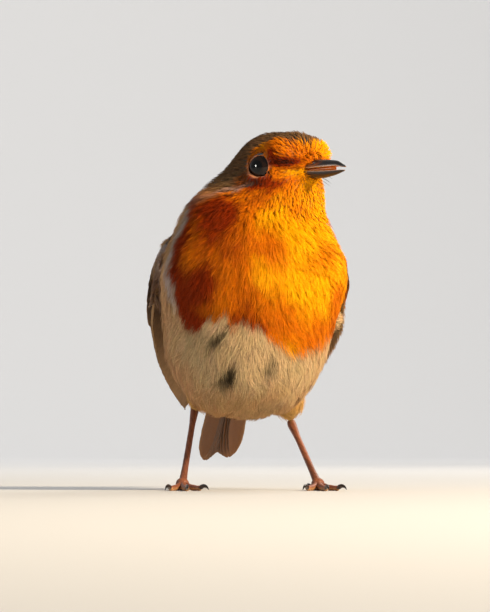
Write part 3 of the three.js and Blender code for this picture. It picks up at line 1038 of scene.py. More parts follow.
def barbFan(line, side, facing, half, barb, rng, count):
    # thin barbs that leave a feather's shaft and sweep to its rounded tip.
    # line, side and facing are feathers x stations x 3
    feathers, stations = line.shape[:2]
    lateral = np.linspace(-1, 1, count)
    lateral = lateral + rng.uniform(-0.6, 0.6, (feathers, count)) / count
    fromShaft = 0.5 * (1 - np.abs(lateral)) * rng.random((feathers, count)) + 0.02
    toTip = 1 - 0.42 * np.abs(lateral) ** 1.8 + rng.uniform(-0.1, 0.06, (feathers, count))
    s = np.array([0, 0.42, 0.78, 1])
    t = fromShaft[..., None] + (toTip - fromShaft)[..., None] * s
    at = np.clip(t, 0, 1) * (stations - 1)
    low = np.minimum(at.astype(int), stations - 2)
    part = (at - low)[..., None]
    row = np.arange(feathers)[:, None, None]

    def along(values):
        return values[row, low] * (1 - part) + values[row, low + 1] * part

    out = lateral[..., None] * s**0.8 * half[:, None, None]
    cup = -0.22 * (lateral[..., None] ** 2) * s * half[:, None, None]
    wave = rng.uniform(-0.5, 0.5, (feathers, count, 1)) * s * half[:, None, None] * 0.35
    shaftSide, shaftFacing = along(side), along(facing)
    place = along(line) + shaftSide * ((out + wave) * mm)[..., None]
    place = place + shaftFacing * (cup * mm)[..., None]
    # barbs lie flat on the coat, each rolled a little of its own
    run = np.gradient(place, axis=2)
    roll = rng.uniform(-0.5, 0.5, (feathers, count, 1, 1))
    wide = unit(np.cross(shaftFacing, unit(run)) * np.cos(roll) + shaftFacing * np.sin(roll))
    taper = np.array([0.75, 1, 0.7, 0])
    thick = barb[:, None, None] * taper * rng.uniform(0.75, 1.25, (feathers, count, 1))
    offset = wide * (thick * mm)[..., None]
    first, second = place + offset, place - offset
    verts = np.concatenate([first[:, :, :3], second[:, :, :3], place[:, :, 3:]], axis=2)
    return verts, t, lateral


barbFaces = [(0, 3, 4, 1), (1, 4, 5, 2), (2, 5, 6)]


def meshFrom(name, verts, faceLists):
    # a mesh from arrays: quads first and then triangles
    mesh = bpy.data.meshes.new(name)
    mesh.vertices.add(len(verts))
    mesh.vertices.foreach_set("co", verts.astype(np.float32).ravel())
    loops = np.concatenate([faces.ravel() for faces in faceLists])
    sizes = np.concatenate([np.full(len(faces), faces.shape[1]) for faces in faceLists])
    mesh.loops.add(len(loops))
    mesh.loops.foreach_set("vertex_index", loops.astype(np.int32))
    mesh.polygons.add(len(sizes))
    starts = np.concatenate([[0], np.cumsum(sizes)[:-1]])
    mesh.polygons.foreach_set("loop_start", starts.astype(np.int32))
    mesh.update(calc_edges=True)
    return mesh, loops


def setMap(mesh, name, values):
    # one value for each corner of each face
    layer = mesh.uv_layers.new(name=name)
    layer.data.foreach_set("uv", values.astype(np.float32).ravel())


def perVertex(t):
    # values along each barb, for its seven vertices
    return np.concatenate([t[..., :3], t[..., :3], t[..., 3:]], axis=-1)


def bakePatches(places, lateral, t7):
    # each feather is a small patch of the baking map, at its root's place
    across = np.array([-0.3, -0.3, -0.3, 0.3, 0.3, 0.3, 0]) / coat["barbs"]
    sideways = lateral[..., None] * 0.42 + across
    patch = np.stack([sideways, np.clip(t7, 0, 1) - 0.5], axis=-1) * coat["patch"]
    return np.clip(places[:, None, None] + patch, 0.0005, 0.9995)


def coatMesh(name, verts, tints, patches):
    # everything is feathers x barbs x 7 vertices
    verts = verts.reshape(-1, 3)
    base = np.arange(0, len(verts), 7)[:, None]
    quads = np.concatenate([base + np.array(f) for f in barbFaces[:2]])
    tips = base + np.array(barbFaces[2])
    mesh, loops = meshFrom(name, verts, [quads, tips])
    setTint(mesh, tints.reshape(-1, 3))
    setMap(mesh, "OFBake", patches.reshape(-1, 2)[loops])
    return mesh


def growFeathers(roots, facing, tree, lie, length, turn, height, steps):
    # walks each shaft over the surface from its root; returns stations and their directions
    here, normals = roots.copy(), facing.copy()
    lines, sides, ups, bases = [], [], [], []
    for step in range(steps + 1):
        way = lie(here, normals)
        aside = np.cross(normals, way)
        way = way * np.cos(turn)[:, None] + aside * np.sin(turn)[:, None]
        aside = np.cross(normals, way)
        t = step / steps
        rise = height(here, normals, t, step)
        lines.append(here + normals * (rise * mm)[:, None])
        sides.append(aside)
        ups.append(normals)
        bases.append(here)
        if step < steps:
            ahead = here + way * (length / steps * mm)[:, None]
            here, normals = nearestOn(tree, ahead)
    pack = lambda items: np.stack(items, axis=1)
    return pack(lines), pack(sides), pack(ups), pack(bases)


def billCollar(rng):
    # roots of the short feathers that lie forwards over the base of the bill
    rule = coat["collar"]
    left, forward, up = toHead(skinPlaces)
    close = np.hypot(left, up - head["mouth"]) < rule["reach"]
    close &= (forward > rule["from"]) & (forward < rule["to"])
    close &= (skinNormals @ np.array(headAxis(0, 1, 0))) < 0.93
    chosen = rng.choice(np.flatnonzero(close), size=rule["count"])
    jitter = rng.normal(0, 0.1 * mm, (rule["count"], 3))
    return nearestOn(skinTree, skinPlaces[chosen] + jitter)


def treeWithBill():
    # the skin and the bill as one surface for the feathers to lie on
    bm = skinCopy.copy()
    for upper in (True, False):
        added(bm, billHalf(upper)[0])
    tree = BVHTree.FromBMesh(bm)
    bm.free()
    return tree


# The coat's pieces in turn: which kinds of feather each holds, or what is left, and its slot.
coatPieces = [
    ("coatHead", ("face", "crown"), "breast_feathers"),
    ("coatBack", ("back",), "belly_feathers"),
    ("coatLegs", ("leg",), "belly_feathers"),
    ("coatThroat", ("throat",), "belly_feathers"),
    ("coatBelly", ("belly",), "belly_feathers"),
    ("coatBreast", (), "breast_feathers"),
]


def makeCoat():
    rng = np.random.default_rng(coat["seed"])
    spacing = lambda points: kindValue(kindShares(points, np.zeros_like(points)), "spacing")
    roots, facing = spreadRoots(skinPlaces, skinNormals, skinFaces, spacing, keepOpen, rng)
    tree = treeWithBill()
    collarRoots, collarFacing = billCollar(rng)
    collar = np.arange(len(roots) + len(collarRoots)) >= len(roots)
    roots = np.concatenate([roots, collarRoots])
    facing = np.concatenate([facing, collarFacing])
    ahead = np.array(headAxis(0, 1, 0))

    def lie(here, normals):
        forwards = onSurface(np.broadcast_to(ahead, here.shape), normals)
        return np.where(collar[:, None], forwards, lieOnBody(here, normals))

    print("roots placed,", len(roots))
    shares = kindShares(roots, facing)
    count = len(roots)
    length = kindValue(shares, "length") * rng.uniform(0.8, 1.2, count)
    half = kindValue(shares, "half") * rng.uniform(0.85, 1.15, count)
    barb = kindValue(shares, "barb")
    stray = kindValue(shares, "stray")
    lift = kindValue(shares, "lift")
    # feathers near the eyes, the bill and the mouth are the smallest
    _, forward, up = toHead(roots)
    small = 1 - 0.45 * smoothStep(5, 9, forward)
    for side in (1, -1):
        along, across, _ = aroundEye(roots, side)
        small = small * np.where(along > 0, 0.5 + 0.5 * smoothStep(3.0, 5.5, across), 1)
    length, half = length * small, half * (0.3 + 0.7 * small)
    length = np.where(collar, coat["collar"]["length"] * rng.uniform(0.6, 1.1, count), length)
    lean = ruffle(roots, 5.5, 4) * 0.65 + ruffle(roots, 2.4, 5) * 0.35
    turn = lean * coat["tuftNoise"] * stray / 0.22 + rng.normal(0, 1, count) * stray
    # feathers always rise a little, even where the skin fits close
    depth = np.maximum(coatDepth(roots), coat["least"])
    swell = 1 + 0.2 * ruffle(roots, 4.2, 6)
    own = rng.uniform(0.84, 1.1, count)
    # the forehead's feathers stand up most
    lift = lift * (1 + 0.5 * smoothStep(4, 8, forward) * smoothStep(0.5, 3, up))

    def height(here, normals, t, step):
        rise = depth * lift * own * swell * (1 - (1 - t) ** 1.7)
        if step >= 1:
            over = heightOver(wingTree, here, normals, 5.0)
            lap = np.where(over > 0, over + coat["overWing"] * own, 0)
            rise = np.maximum(rise, lap)
        return rise

    line, side, ups, bases = growFeathers(
        roots, facing, tree, lie, length, turn, height, coat["steps"]
    )
    print("shafts laid")
    verts, t, lateral = barbFan(line, side, ups, half, barb, rng, coat["barbs"])
    shown = bases[:, 3]
    colour = markings(shown, ups[:, 3])
    own = rng.uniform(0.88, 1.1, count)[:, None]
    hue = 1 + rng.normal(0, 0.03, (count, 3))
    colour = colour * own * hue
    onFace = (shares["face"] + shares["crown"] + 0.5 * shares["throat"])[:, None]
    warm = orangeness(colour)[:, None]
    down = mixed(colour * 0.56, plumage["down"] * 0.5, 0.25) * (1 - warm)
    down = down + colour * 0.82 * warm
    down = down * (1 - onFace) + colour * 0.8 * onFace
    paler = np.clip(colour * 1.12 + 0.01, 0, 1)
    # grey down at the root, the full colour past the middle, a little paler at the tip
    t7 = perVertex(t)
    full = smoothStep(0.15, 0.62, t7)[..., None]
    pale = smoothStep(0.7, 1.0, t7)[..., None]
    tints = down[:, None, None] * (1 - full) + colour[:, None, None] * full
    tints = tints * (1 - pale) + paler[:, None, None] * pale
    tints = tints * rng.uniform(0.86, 1.1, (count, coat["barbs"], 1, 1))
    # painted shade: the small gaps in the belly are darkened on each barb that crosses them
    near = np.flatnonzero((shares["belly"] > 0.3) & (roots[:, 1] < -0.028))
    spots = verts[near].reshape(-1, 3)
    hairy = rng.normal(0, 0.9, (len(near), coat["barbs"], 1)) + np.zeros(7)
    dark = partingShade(spots, hairy.reshape(-1), ruffle(roots, 7, 2)[near].repeat(coat["barbs"] * 7))
    tints[near] *= 1 - 0.9 * dark.reshape(len(near), coat["barbs"], 7, 1)
    patches = bakePatches(skinUnwrap(roots), lateral, t7)

    rest = np.ones(count, bool)
    most = coat["pieceTriangles"] // (5 * coat["barbs"])
    for name, kinds, slot in coatPieces:
        chosen = rest & (sum(shares[kind] for kind in kinds) > 0.5) if kinds else rest
        rest = rest & ~chosen
        which = np.flatnonzero(chosen)
        parts = max(1, math.ceil(len(which) / most))
        order = which[np.argsort(roots[which, 0])]
        for n, some in enumerate(np.array_split(order, parts)):
            label = name if parts == 1 else f"{name}_{n + 1}"
            mesh = coatMesh(label, verts[some], tints[some], patches[some])
            finished(newPiece(label, mesh, [coatMaterial]), slot)
    print("coat made,", count, "feathers,", count * coat["barbs"] * 5, "triangles")


coatMaterial = tintMaterial(
    "smallFeathers",
    {"roughness": 0.7, "grain": 1400, "uneven": 0.12, "sheen": 0, "specular": 0.035},
)
makeCoat()


# The long feathers: closed vanes, each with a shaft, on the outside of the wings and the tail.
vane = {
    "stations": 26,
    "top": (-1, -0.82, -0.5, -0.2, -0.05, 0, 0.05, 0.2, 0.5, 0.82, 1),
    "bottom": (0.82, 0.5, 0.2, 0, -0.2, -0.5, -0.82),
    "thick": 0.12,
    "shaft": 0.07,
    "shaftWidth": 0.06,  # share of a vane's half width
    "camber": 0.1,
    "seed": 5,
}
# from root to tip, closer together towards the tip
shaftSteps = 1 - (1 - np.linspace(0, 1, vane["stations"])) ** 1.4


def vaneMeshes(name, line, high, up, feathers, colour, rng):
    # line, high and up are feathers x stations x 3; high points to the wing's upper edge
    count, stations = line.shape[:2]
    t = shaftSteps
    top, bottom = np.array(vane["top"]), np.array(vane["bottom"])
    ring = np.concatenate([top, bottom])
    isTop = np.arange(len(ring)) < len(top)
    width, lowShare, pointed = (feathers[key][:, None] for key in ("width", "low", "pointed"))
    body = 0.35 + 0.65 * smoothStep(0, 0.3, t)
    tipFrom = 0.86 - 0.3 * pointed
    past = np.clip((t - tipFrom) / (1 - tipFrom), 0, 1)
    profile = body * np.sqrt(np.clip(1 - past ** (2.2 - pointed * 0.7), 0, 1))
    frayed = 1 + rng.normal(0, 0.022, (count, stations, 2))
    halfLow = (width * 2 * lowShare * profile * frayed[..., 0])[..., None]
    halfHigh = (width * 2 * (1 - lowShare) * profile * frayed[..., 1])[..., None]
    across = np.where(ring > 0, ring * halfHigh, ring * halfLow)
    arch = vane["camber"] * (1 - ring**2) * (halfLow + halfHigh)
    ridge = vane["shaft"] * (1 - 0.7 * t[:, None]) * softSpot(ring / vane["shaftWidth"], 0)
    lower = -(vane["thick"] * (1.1 - np.abs(ring))) - ridge * 1.5
    tilt = -ring * (halfLow + halfHigh) * feathers["tilt"][:, None, None]
    height = arch + tilt + np.where(isTop, ridge, lower)
    verts = line[:, :, None] + high[:, :, None] * (across * mm)[..., None]
    verts = verts + up[:, :, None] * (height * mm)[..., None]
    verts[:, -1] = line[:, -1, None] + up[:, -1, None] * (height[:, -1, :, None] * mm)

    around = len(ring)
    grid = np.arange(count * stations * around).reshape(count, stations, around)
    wrap = np.concatenate([grid, grid[:, :, :1]], axis=2)
    quads = [wrap[:, :-1, :-1], wrap[:, :-1, 1:], wrap[:, 1:, 1:], wrap[:, 1:, :-1]]
    quads = np.stack(quads, axis=-1).reshape(-1, 4)
    # where each corner lies on its feather's own patch of the baking map
    columns = max(1, math.ceil(math.sqrt(count / 3)))
    rows = math.ceil(count / columns)
    cell = np.arange(count)
    span = np.linspace(0, 1, around + 1)
    x = ((cell % columns)[:, None, None] + 0.04 + 0.92 * span) / columns
    y = ((cell // columns)[:, None, None] + 0.04 + 0.92 * t[:, None]) / rows
    flat = np.stack(np.broadcast_arrays(x, y), axis=-1)
    corners = [flat[:, :-1, :-1], flat[:, :-1, 1:], flat[:, 1:, 1:], flat[:, 1:, :-1]]
    bake = np.stack(corners, axis=3).reshape(-1, 2)
    # the barbs run aslant from the shaft to the edge, in mm
    length = np.linalg.norm(np.diff(line, axis=1), axis=-1).sum(axis=1)[:, None, None] / mm
    slant = np.abs(across) * 1.1
    barbs = np.stack([across + cell[:, None, None] * 13.7, t[:, None] * length - slant], axis=-1)
    barbs = barbs.reshape(-1, 2)[quads.ravel()]
    caps = np.concatenate([grid[:, 0, ::-1], grid[:, -1]])
    mesh = meshFrom(name, verts.reshape(-1, 3), [quads, caps])[0]
    rest = np.full((caps.size, 2), 0.5 / columns)
    setMap(mesh, "barbs", np.concatenate([barbs, np.zeros_like(rest)]))
    setMap(mesh, "OFBake", np.concatenate([bake, rest]))
    setTint(mesh, colour(ring, t, isTop, feathers, rng).reshape(-1, 3))
    return mesh


def vaneTints(ring, t, isTop, feathers, rng):
    # dark inner vane, pale edge and tip, dark shaft, grey underside
    tone, edge, tip = (feathers[key][:, None, None] for key in ("tone", "edge", "tip"))
    own = tone * rng.uniform(0.93, 1.07, tone.shape)
    colour = mixed(plumage["wing"], plumage["wingDark"], smoothStep(-0.1, 0.6, ring) * 0.85)
    colour = mixed(colour, plumage["wingEdge"], smoothStep(-0.62, -0.95, ring) * edge)
    colour = mixed(colour, plumage["wingEdge"], smoothStep(0.93, 0.99, t)[:, None] * tip)
    colour = mixed(colour, plumage["wingDark"] * 0.7, softSpot(ring / vane["shaftWidth"], 0) * 0.7)
    colour = mixed(colour, plumage["grey"] * 0.55, ~isTop * 0.45)
    return colour * own[..., None]


def vaneMaterial():
    material, shader = plainMaterial("longFeathers", (0.1, 0.08, 0.06), 0.5)
    nodes, links = material.node_tree.nodes, material.node_tree.links
    barbs = nodes.new("ShaderNodeUVMap")
    barbs.uv_map = "barbs"
    fine = nodes.new("ShaderNodeMapping")
    fine.inputs["Scale"].default_value = (0.5, 7, 1)
    links.new(barbs.outputs["UV"], fine.inputs["Vector"])
    addUneven(material, shader, fine.outputs["Vector"], 1, 4, 0.7, 1.24, 0.05)
    shader.inputs["Specular IOR Level"].default_value = 0.22
    shader.inputs["Sheen Weight"].default_value = 0.05
    return material


# The folded wing. Its edges are those of the solids, in mm, for the left side.
wing = {
    "lower": [
        (18.4, 1, 52), (22.4, 6.5, 45), (22.7, 13, 39.5), (21, 22, 33.8),
        (18.7, 32, 28.8), (14.6, 45, 23.3), (10.2, 59.5, 19.3),
    ],
    "upper": [
        (17.6, 2.5, 56), (12.4, 11, 58.6), (7.4, 23, 51), (4.4, 36, 40),
        (5, 47.5, 30.2), (9.2, 59.5, 20.9),
    ],
    "smoothing": 3,
    "length": 70,
    "tilt": 0.05,
    "softBarb": 0.075,
    "baseVoxel": 0.5,
    "baseSwell": 0.3,
    "baseShrink": 0.12,
}
# Rows of long feathers, with pairs for the first feather and the last. "from" and "to" are their
# roots and tips along the wing (0 wrist, 1 tip), rootAcross and tipAcross the same across it
# (0 lower edge, 1 upper edge), width is half a feather's width in mm and level its height over
# the solid. low is the lower vane's share, and edge, tip and tone say how pale they are.
wingRows = [
    {"name": "primary", "count": 9, "from": (0.26, 0.36), "to": (1.0, 0.76), "rootAcross": (0.06, 0.5),
     "tipAcross": (0.3, 0.8), "width": (1.5, 2.9), "level": (-0.1, 0.5), "low": 0.34,
     "pointed": 0.75, "edge": 0.95, "tip": 0.3, "tone": 0.72},
    {"name": "secondary", "count": 7, "from": (0.22, 0.24), "to": (0.72, 0.69), "rootAcross": (0.14, 0.62),
     "tipAcross": (0.14, 0.66), "width": (2.5, 2.9), "level": (0.1, 0.7), "low": 0.36,
     "pointed": 0.3, "edge": 1, "tip": 0.4, "tone": 0.86},
    {"name": "tertial", "count": 3, "from": (0.24, 0.22), "to": (0.74, 0.56), "rootAcross": (0.7, 0.86),
     "tipAcross": (0.76, 0.92), "width": (2.9, 2.8), "level": (0.75, 1.05), "low": 0.42,
     "pointed": 0.35, "edge": 0.9, "tip": 0.6, "tone": 1},
    {"name": "primaryCovert", "count": 6, "from": (0.1, 0.12), "to": (0.37, 0.33), "rootAcross": (0.08, 0.17),
     "tipAcross": (0.08, 0.18), "width": (1.1, 1.4), "level": (0.15, 0.45), "low": 0.4,
     "pointed": 0.6, "edge": 0.5, "tip": 0.2, "tone": 0.85},
    {"name": "alula", "count": 3, "from": (0.02, 0.03), "to": (0.26, 0.16), "rootAcross": (0.12, 0.18),
     "tipAcross": (0.1, 0.18), "width": (1.1, 1.3), "level": (0.2, 0.5), "low": 0.4,
     "pointed": 0.6, "edge": 0.6, "tip": 0.3, "tone": 0.85},
    {"name": "greaterCovert", "count": 10, "from": (0.12, 0.12), "to": (0.42, 0.37),
     "rootAcross": (0.12, 0.84),
     "tipAcross": (0.13, 0.86), "width": (2.0, 2.4), "level": (0.5, 0.95), "low": 0.45,
     "pointed": 0.3, "edge": 0.9, "tip": 1, "tone": 1},
    {"name": "medianCovert", "count": 9, "from": (0.05, 0.05), "to": (0.26, 0.23), "rootAcross": (0.12, 0.88),
     "tipAcross": (0.13, 0.88), "width": (1.8, 2.1), "level": (0.7, 1.05), "low": 0.5,
     "pointed": 0.3, "edge": 0.6, "tip": 0.7, "tone": 1.05},
]


def wingSheet(side, u, v, tree):
    # places and outward directions on the outside of a wing's solids
    mirror = np.array((side, 1, 1))
    low = curveThrough(wing["lower"], u) * mirror + packShift
    high = curveThrough(wing["upper"], u) * mirror + packShift
    ahead = curveThrough(wing["lower"], np.minimum(u + 0.02, 1)) * mirror + packShift
    back = curveThrough(wing["lower"], np.maximum(u - 0.02, 0)) * mirror + packShift
    across = curveThrough(wing["upper"], np.minimum(u, 0.9)) * mirror + packShift
    across = across - (curveThrough(wing["lower"], np.minimum(u, 0.9)) * mirror + packShift)
    out = unit(np.cross(ahead - back, across) * side)
    spots = (low + (high - low) * v[..., None]) * mm
    flatSpots, flatOut = spots.reshape(-1, 3), out.reshape(-1, 3)
    found = np.empty_like(flatSpots)
    for n, (p, q) in enumerate(zip(flatSpots, flatOut)):
        hit = tree.ray_cast(Vector(p + q * 7 * mm), Vector(-q), 12 * mm)
        if hit[0] is None:
            hit = tree.find_nearest(Vector(p + q * 2 * mm))
        found[n] = hit[0][:]
    return found.reshape(spots.shape), out


def evened(values, rounds):
    # takes small kinks out along each feather
    for _ in range(rounds):
        middle = (values[:, :-2] + values[:, 2:]) * 0.25 + values[:, 1:-1] * 0.5
        values = np.concatenate([values[:, :1], middle, values[:, -1:]], axis=1)
    return values


def framedLine(line, out, side):
    # along the shaft, towards the upper edge, and outwards
    ahead = unit(np.gradient(line, axis=1))
    high = unit(np.cross(out, ahead)) * side
    up = unit(np.cross(ahead, high)) * side
    return high, up


def wingVanes(side, tree, rng):
    plain = ("low", "pointed", "edge", "tip", "tone")
    lines, outs, features = [], [], {key: [] for key in ("width", *plain)}
    t = shaftSteps
    for row in wingRows:
        share = np.linspace(0, 1, row["count"])
        pick = lambda key: row[key][0] + (row[key][1] - row[key][0]) * share
        u = pick("from")[:, None] + (pick("to") - pick("from"))[:, None] * t
        v = pick("rootAcross")[:, None] + (pick("tipAcross") - pick("rootAcross"))[:, None] * t
        line, out = wingSheet(side, np.clip(u, 0, 1), v, tree)
        line = evened(line, wing["smoothing"])
        rise = pick("level")[:, None] * (0.35 + 0.65 * smoothStep(0, 0.5, t)) * smoothStep(0, 0.16, u)
        lines.append(line + out * (rise * mm)[..., None])
        outs.append(out)
        features["width"].append(pick("width") * rng.uniform(0.97, 1.03, row["count"]))
        for key in plain:
            features[key].append(np.full(row["count"], row[key]))
    line, out = np.concatenate(lines), np.concatenate(outs)
    features = {key: np.concatenate(values) for key, values in features.items()}
    features["tilt"] = np.full(len(line), wing["tilt"])
    high, up = framedLine(line, out, side)
    return line, high, up, features


# Small feathers on and round the wing: where their roots lie along and across it, how far they
# slant across, and their length, half width and rise in mm. A group with onlySide is on one wing.
wingSoft = [
    {"name": "lesserCovert", "count": 500, "along": (0.05, 0.2), "across": (0.12, 1.0),
     "slant": 0, "length": 4.8, "half": 1.3, "rise": 1.15},
    {"name": "scapular", "count": 850, "along": (0.02, 0.46), "across": (0.92, 1.3),
     "slant": -0.22, "length": 8.5, "half": 1.9, "rise": 1.9},
    {"name": "breastSide", "count": 1050, "along": (-0.12, 0.15), "across": (-0.05, 1.0),
     "slant": 0.0, "length": 6.8, "half": 1.5, "rise": 0.6},
    {"name": "flankLap", "count": 900, "along": (0.08, 0.58), "across": (-0.12, 0.22),
     "slant": 0.02, "length": 7, "half": 1.6, "rise": 0.7, "onlySide": 1},
]


def smallWingFeathers(side, tree, rng):
    groups = {key: [] for key in ("u", "v", "slant", "length", "half", "rise", "own")}
    for order, kind in enumerate(wingSoft):
        if kind.get("onlySide", side) != side:
            continue
        count = kind["count"]
        groups["u"].append(rng.uniform(*kind["along"], count))
        groups["v"].append(rng.uniform(*kind["across"], count))
        for key in ("slant", "length", "half", "rise"):
            groups[key].append(np.full(count, kind[key]) * rng.uniform(0.85, 1.15, count))
        groups["own"].append(np.full(count, order))
    groups = {key: np.concatenate(values) for key, values in groups.items()}
    u0, v0 = groups["u"], groups["v"]
    count = len(u0)
    t = np.linspace(0, 1, 6)
    u = u0[:, None] + groups["length"][:, None] / wing["length"] * t
    v = v0[:, None] + (groups["slant"] + rng.normal(0, 0.03, count))[:, None] * t
    line, out = wingSheet(side, np.minimum(u, 1), v, tree)
    line = evened(line, 2)
    rise = groups["rise"][:, None] * (1 - (1 - t) ** 1.6) - 0.5 * (1 - t)
    line = line + out * (rise * mm)[..., None]
    high, up = framedLine(line, out, side)
    barb = np.full(count, wing["softBarb"])
    verts, t, lateral = barbFan(line, high, up, groups["half"], barb, rng, coat["barbs"])
    # on the bird's left the side feathers take their colour from further forward
    forwards = np.array([0, 0, 9, 20])[groups["own"]] * (side > 0)
    beside = np.stack([-0.2 * forwards, -forwards, 0 * forwards], axis=1) * mm
    colour = markings(line[:, 3] + beside, out[:, 3])
    own = groups["own"][:, None]
    colour = np.where(own == 0, plumage["back"], colour)
    sideGrey = mixed(plumage["grey"], plumage["flank"], smoothStep(0.5, 0.0, v0) * 0.5)
    sideGrey = mixed(sideGrey, plumage["back"], smoothStep(0.75, 1.05, v0))
    if side < 0:
        colour = np.where(own == 2, mixed(colour, sideGrey, np.full(count, 0.85)), colour)
    # pale flank feathers lap over the wing's lower edge, orange only at its very front
    buff = mixed(plumage["belly"], plumage["flank"], smoothStep(0.1, 0.5, u0) * 0.8)
    behind, below = smoothStep(0.06, 0.14, u0), smoothStep(46, 43, line[:, 3, 2] / mm)
    buff = mixed(colour, buff, np.maximum(behind, below))
    colour = np.where(own == 3, buff, colour)
    colour = colour * rng.uniform(0.88, 1.12, (count, 1)) * (1 + rng.normal(0, 0.03, (count, 3)))
    t7 = perVertex(t)
    full = smoothStep(0.1, 0.6, t7)[..., None]
    tints = (colour * 0.5)[:, None, None] * (1 - full) + colour[:, None, None] * full
    tints = tints * rng.uniform(0.88, 1.12, (count, coat["barbs"], 1, 1))
    roots = np.stack([u0 * 0.8 + 0.15, v0 * 0.6 + 0.22], axis=1)
    sideways = lateral[..., None] * 0.42 + np.zeros(7)
    patch = np.stack([sideways, t7 - 0.5], axis=-1) * coat["patch"]
    return verts, tints, np.clip(roots[:, None, None] + patch, 0, 1)


longFeathers = vaneMaterial()
underWing = tintMaterial("wingFlesh", {"roughness": 0.8, "grain": 700, "uneven": 0.2, "dent": 0.2})


def makeWings():
    rng = np.random.default_rng(vane["seed"])
    for side, label in sides:
        name = f"wingFeathers_{label}"
        line, high, up, features = wingVanes(side, copyOfNodes(wingNodes[side]), rng)
        mesh = vaneMeshes(name, line, high, up, features, vaneTints, rng)
        finished(newPiece(name, mesh, [longFeathers]), "flight_feathers")
        name = f"wingCoverts_{label}"
        draped = copyOfNodes(wingNodes[side] + ["trunk", "neck"])
        mesh = coatMesh(name, *smallWingFeathers(side, draped, rng))
        finished(newPiece(name, mesh, [coatMaterial]), "flight_feathers")
        bm = fused(nodeCopies(wingNodes[side], wing["baseSwell"]), wing["baseVoxel"])
        relaxed(bm, 3)
        places, normals = arrays(bm)
        inset = wing["baseSwell"] + wing["baseShrink"]
        moved(bm, places - normals * inset * mm)
        base = newPiece(f"wingBase_{label}", bm, [underWing])
        setTint(base.data, mixed(plumage["wing"], plumage["wingEdge"], 0.35))
        finished(base, "flight_feathers", *wingNodes[side])


makeWings()
print("wings made")

# The tail: six pairs of feathers, the middle pair on top.
tail = {
    "root": (0, 23, 35.6),
    "drop": 31,
    "length": 54.8,
    "halfWidth": [(0, 3.6), (0.5, 4.7), (0.85, 5.6), (1, 5.3)],
    "centres": (0.12, 0.25, 0.38, 0.5, 0.61, 0.7),  # shares of the half width
    "shorter": (1.6, 1.0, 0.4, 0.1, 0.7, 2.2),
    "swing": -1.1,
    "roll": 8,
    "camber": 1.2,
    "level": 0.42,
    "step": 0.15,
    "width": 2.15,
}


def tailTints(ring, t, isTop, feathers, rng):
    # dark inner vane, pale outer edge and end, dark shaft, brown underside
    outer = feathers["outward"][:, None, None] * ring
    colour = mixed(plumage["tail"], plumage["wingDark"], smoothStep(0.2, -0.7, outer) * 0.5)
    colour = mixed(colour, plumage["wingEdge"], smoothStep(0.6, 1, outer) * 0.7)
    colour = mixed(colour, plumage["wingEdge"], smoothStep(0.95, 1, t)[:, None] * 0.5)
    colour = mixed(colour, plumage["wingDark"], softSpot(ring / vane["shaftWidth"], 0) * 0.5)
    colour = mixed(colour, plumage["tailUnder"], ~isTop * 0.8)
    return colour * rng.uniform(0.9, 1.1, (len(outer), 1, 1, 1))


def makeTail():
    rng = np.random.default_rng(vane["seed"] + 1)
    drop, roll = math.radians(tail["drop"]), math.radians(-tail["roll"])
    back = Vector((0, math.cos(drop), -math.sin(drop)))
    wide = Vector((1, 0, 0))
    wide.rotate(Matrix.Rotation(roll, 3, back))
    over = np.array(wide.cross(back))
    back, wide = np.array(back), np.array(wide)
    t = shaftSteps
    lines, outward = [], []
    for order in range(5, -1, -1):
        for side in (1, -1):
            share = side * tail["centres"][order]
            reach = 0.06 * tail["length"] + t * (0.94 * tail["length"] - tail["shorter"][order])
            along = reach / tail["length"]
            width = stationed(tail["halfWidth"], along)
            height = tail["level"] - tail["step"] * order - tail["camber"] * share**2 * along
            height = height - 0.04 * (side < 0)
            line = np.array(tail["root"]) + packShift + reach[:, None] * back
            line = line + (share * width)[:, None] * wide + height[:, None] * over
            line[:, 0] += tail["swing"] * along
            lines.append(line * mm)
            outward.append(side)
    line = np.array(lines)
    outward = np.array(outward)
    count = len(line)
    high, up = framedLine(line, np.broadcast_to(over, line.shape), 1)
    # high points to the bird's right here, so the outward side follows from that
    sign = np.sign(high[:, 0] @ wide)
    features = {
        "width": np.full(count, tail["width"]) * rng.uniform(0.97, 1.03, count),
        "low": np.where(outward * sign > 0, 0.56, 0.44),
        "pointed": np.full(count, 0.42),
        "tilt": np.zeros(count),
        "outward": outward * sign,
    }
    mesh = vaneMeshes("tailFeathers", line, high, up, features, tailTints, rng)
    finished(newPiece("tailFeathers", mesh, [longFeathers]), "flight_feathers", "tail")


makeTail()
print("tail made")


def makeEyes():
    glossy = tintMaterial(
        "eyeGloss", {"roughness": 0.1, "grain": 2000, "uneven": 0.05, "gloss": 0.55, "specular": 0.04}
    )
    for side, label in sides:
        middle, look = eyeFrame(side)
        bm = bmesh.new()
        bmesh.ops.create_uvsphere(bm, u_segments=64, v_segments=48, radius=eye["radius"] * mm)
        bmesh.ops.rotate(bm, verts=bm.verts, matrix=look.to_track_quat("Z", "Y").to_matrix())
        bmesh.ops.translate(bm, verts=bm.verts, vec=middle)
        back = middle + look * (eye["radius"] - eye["depth"]) * mm
        cutAt = bmesh.ops.bisect_plane(
            bm, geom=bm.verts[:] + bm.edges[:] + bm.faces[:], plane_co=back, plane_no=look,
            clear_inner=True,
        )
        rim = [item for item in cutAt["geom_cut"] if isinstance(item, bmesh.types.BMEdge)]
        bmesh.ops.contextual_create(bm, geom=rim)
        bmesh.ops.recalc_face_normals(bm, faces=bm.faces)
        places = np.array([v.co[:] for v in bm.verts])
        across = aroundEye(places, side)[1]
        piece = newPiece(f"eyeball_{label}", bm, [glossy])
        inIris = smoothStep(1.35, 1.65, across) * smoothStep(2.7, 2.3, across)
        setTint(piece.data, mixed(eye["pupil"], eye["iris"], inIris))
        finished(piece, "eye", f"eye_{label}")


makeEyes()
print("eyes made")

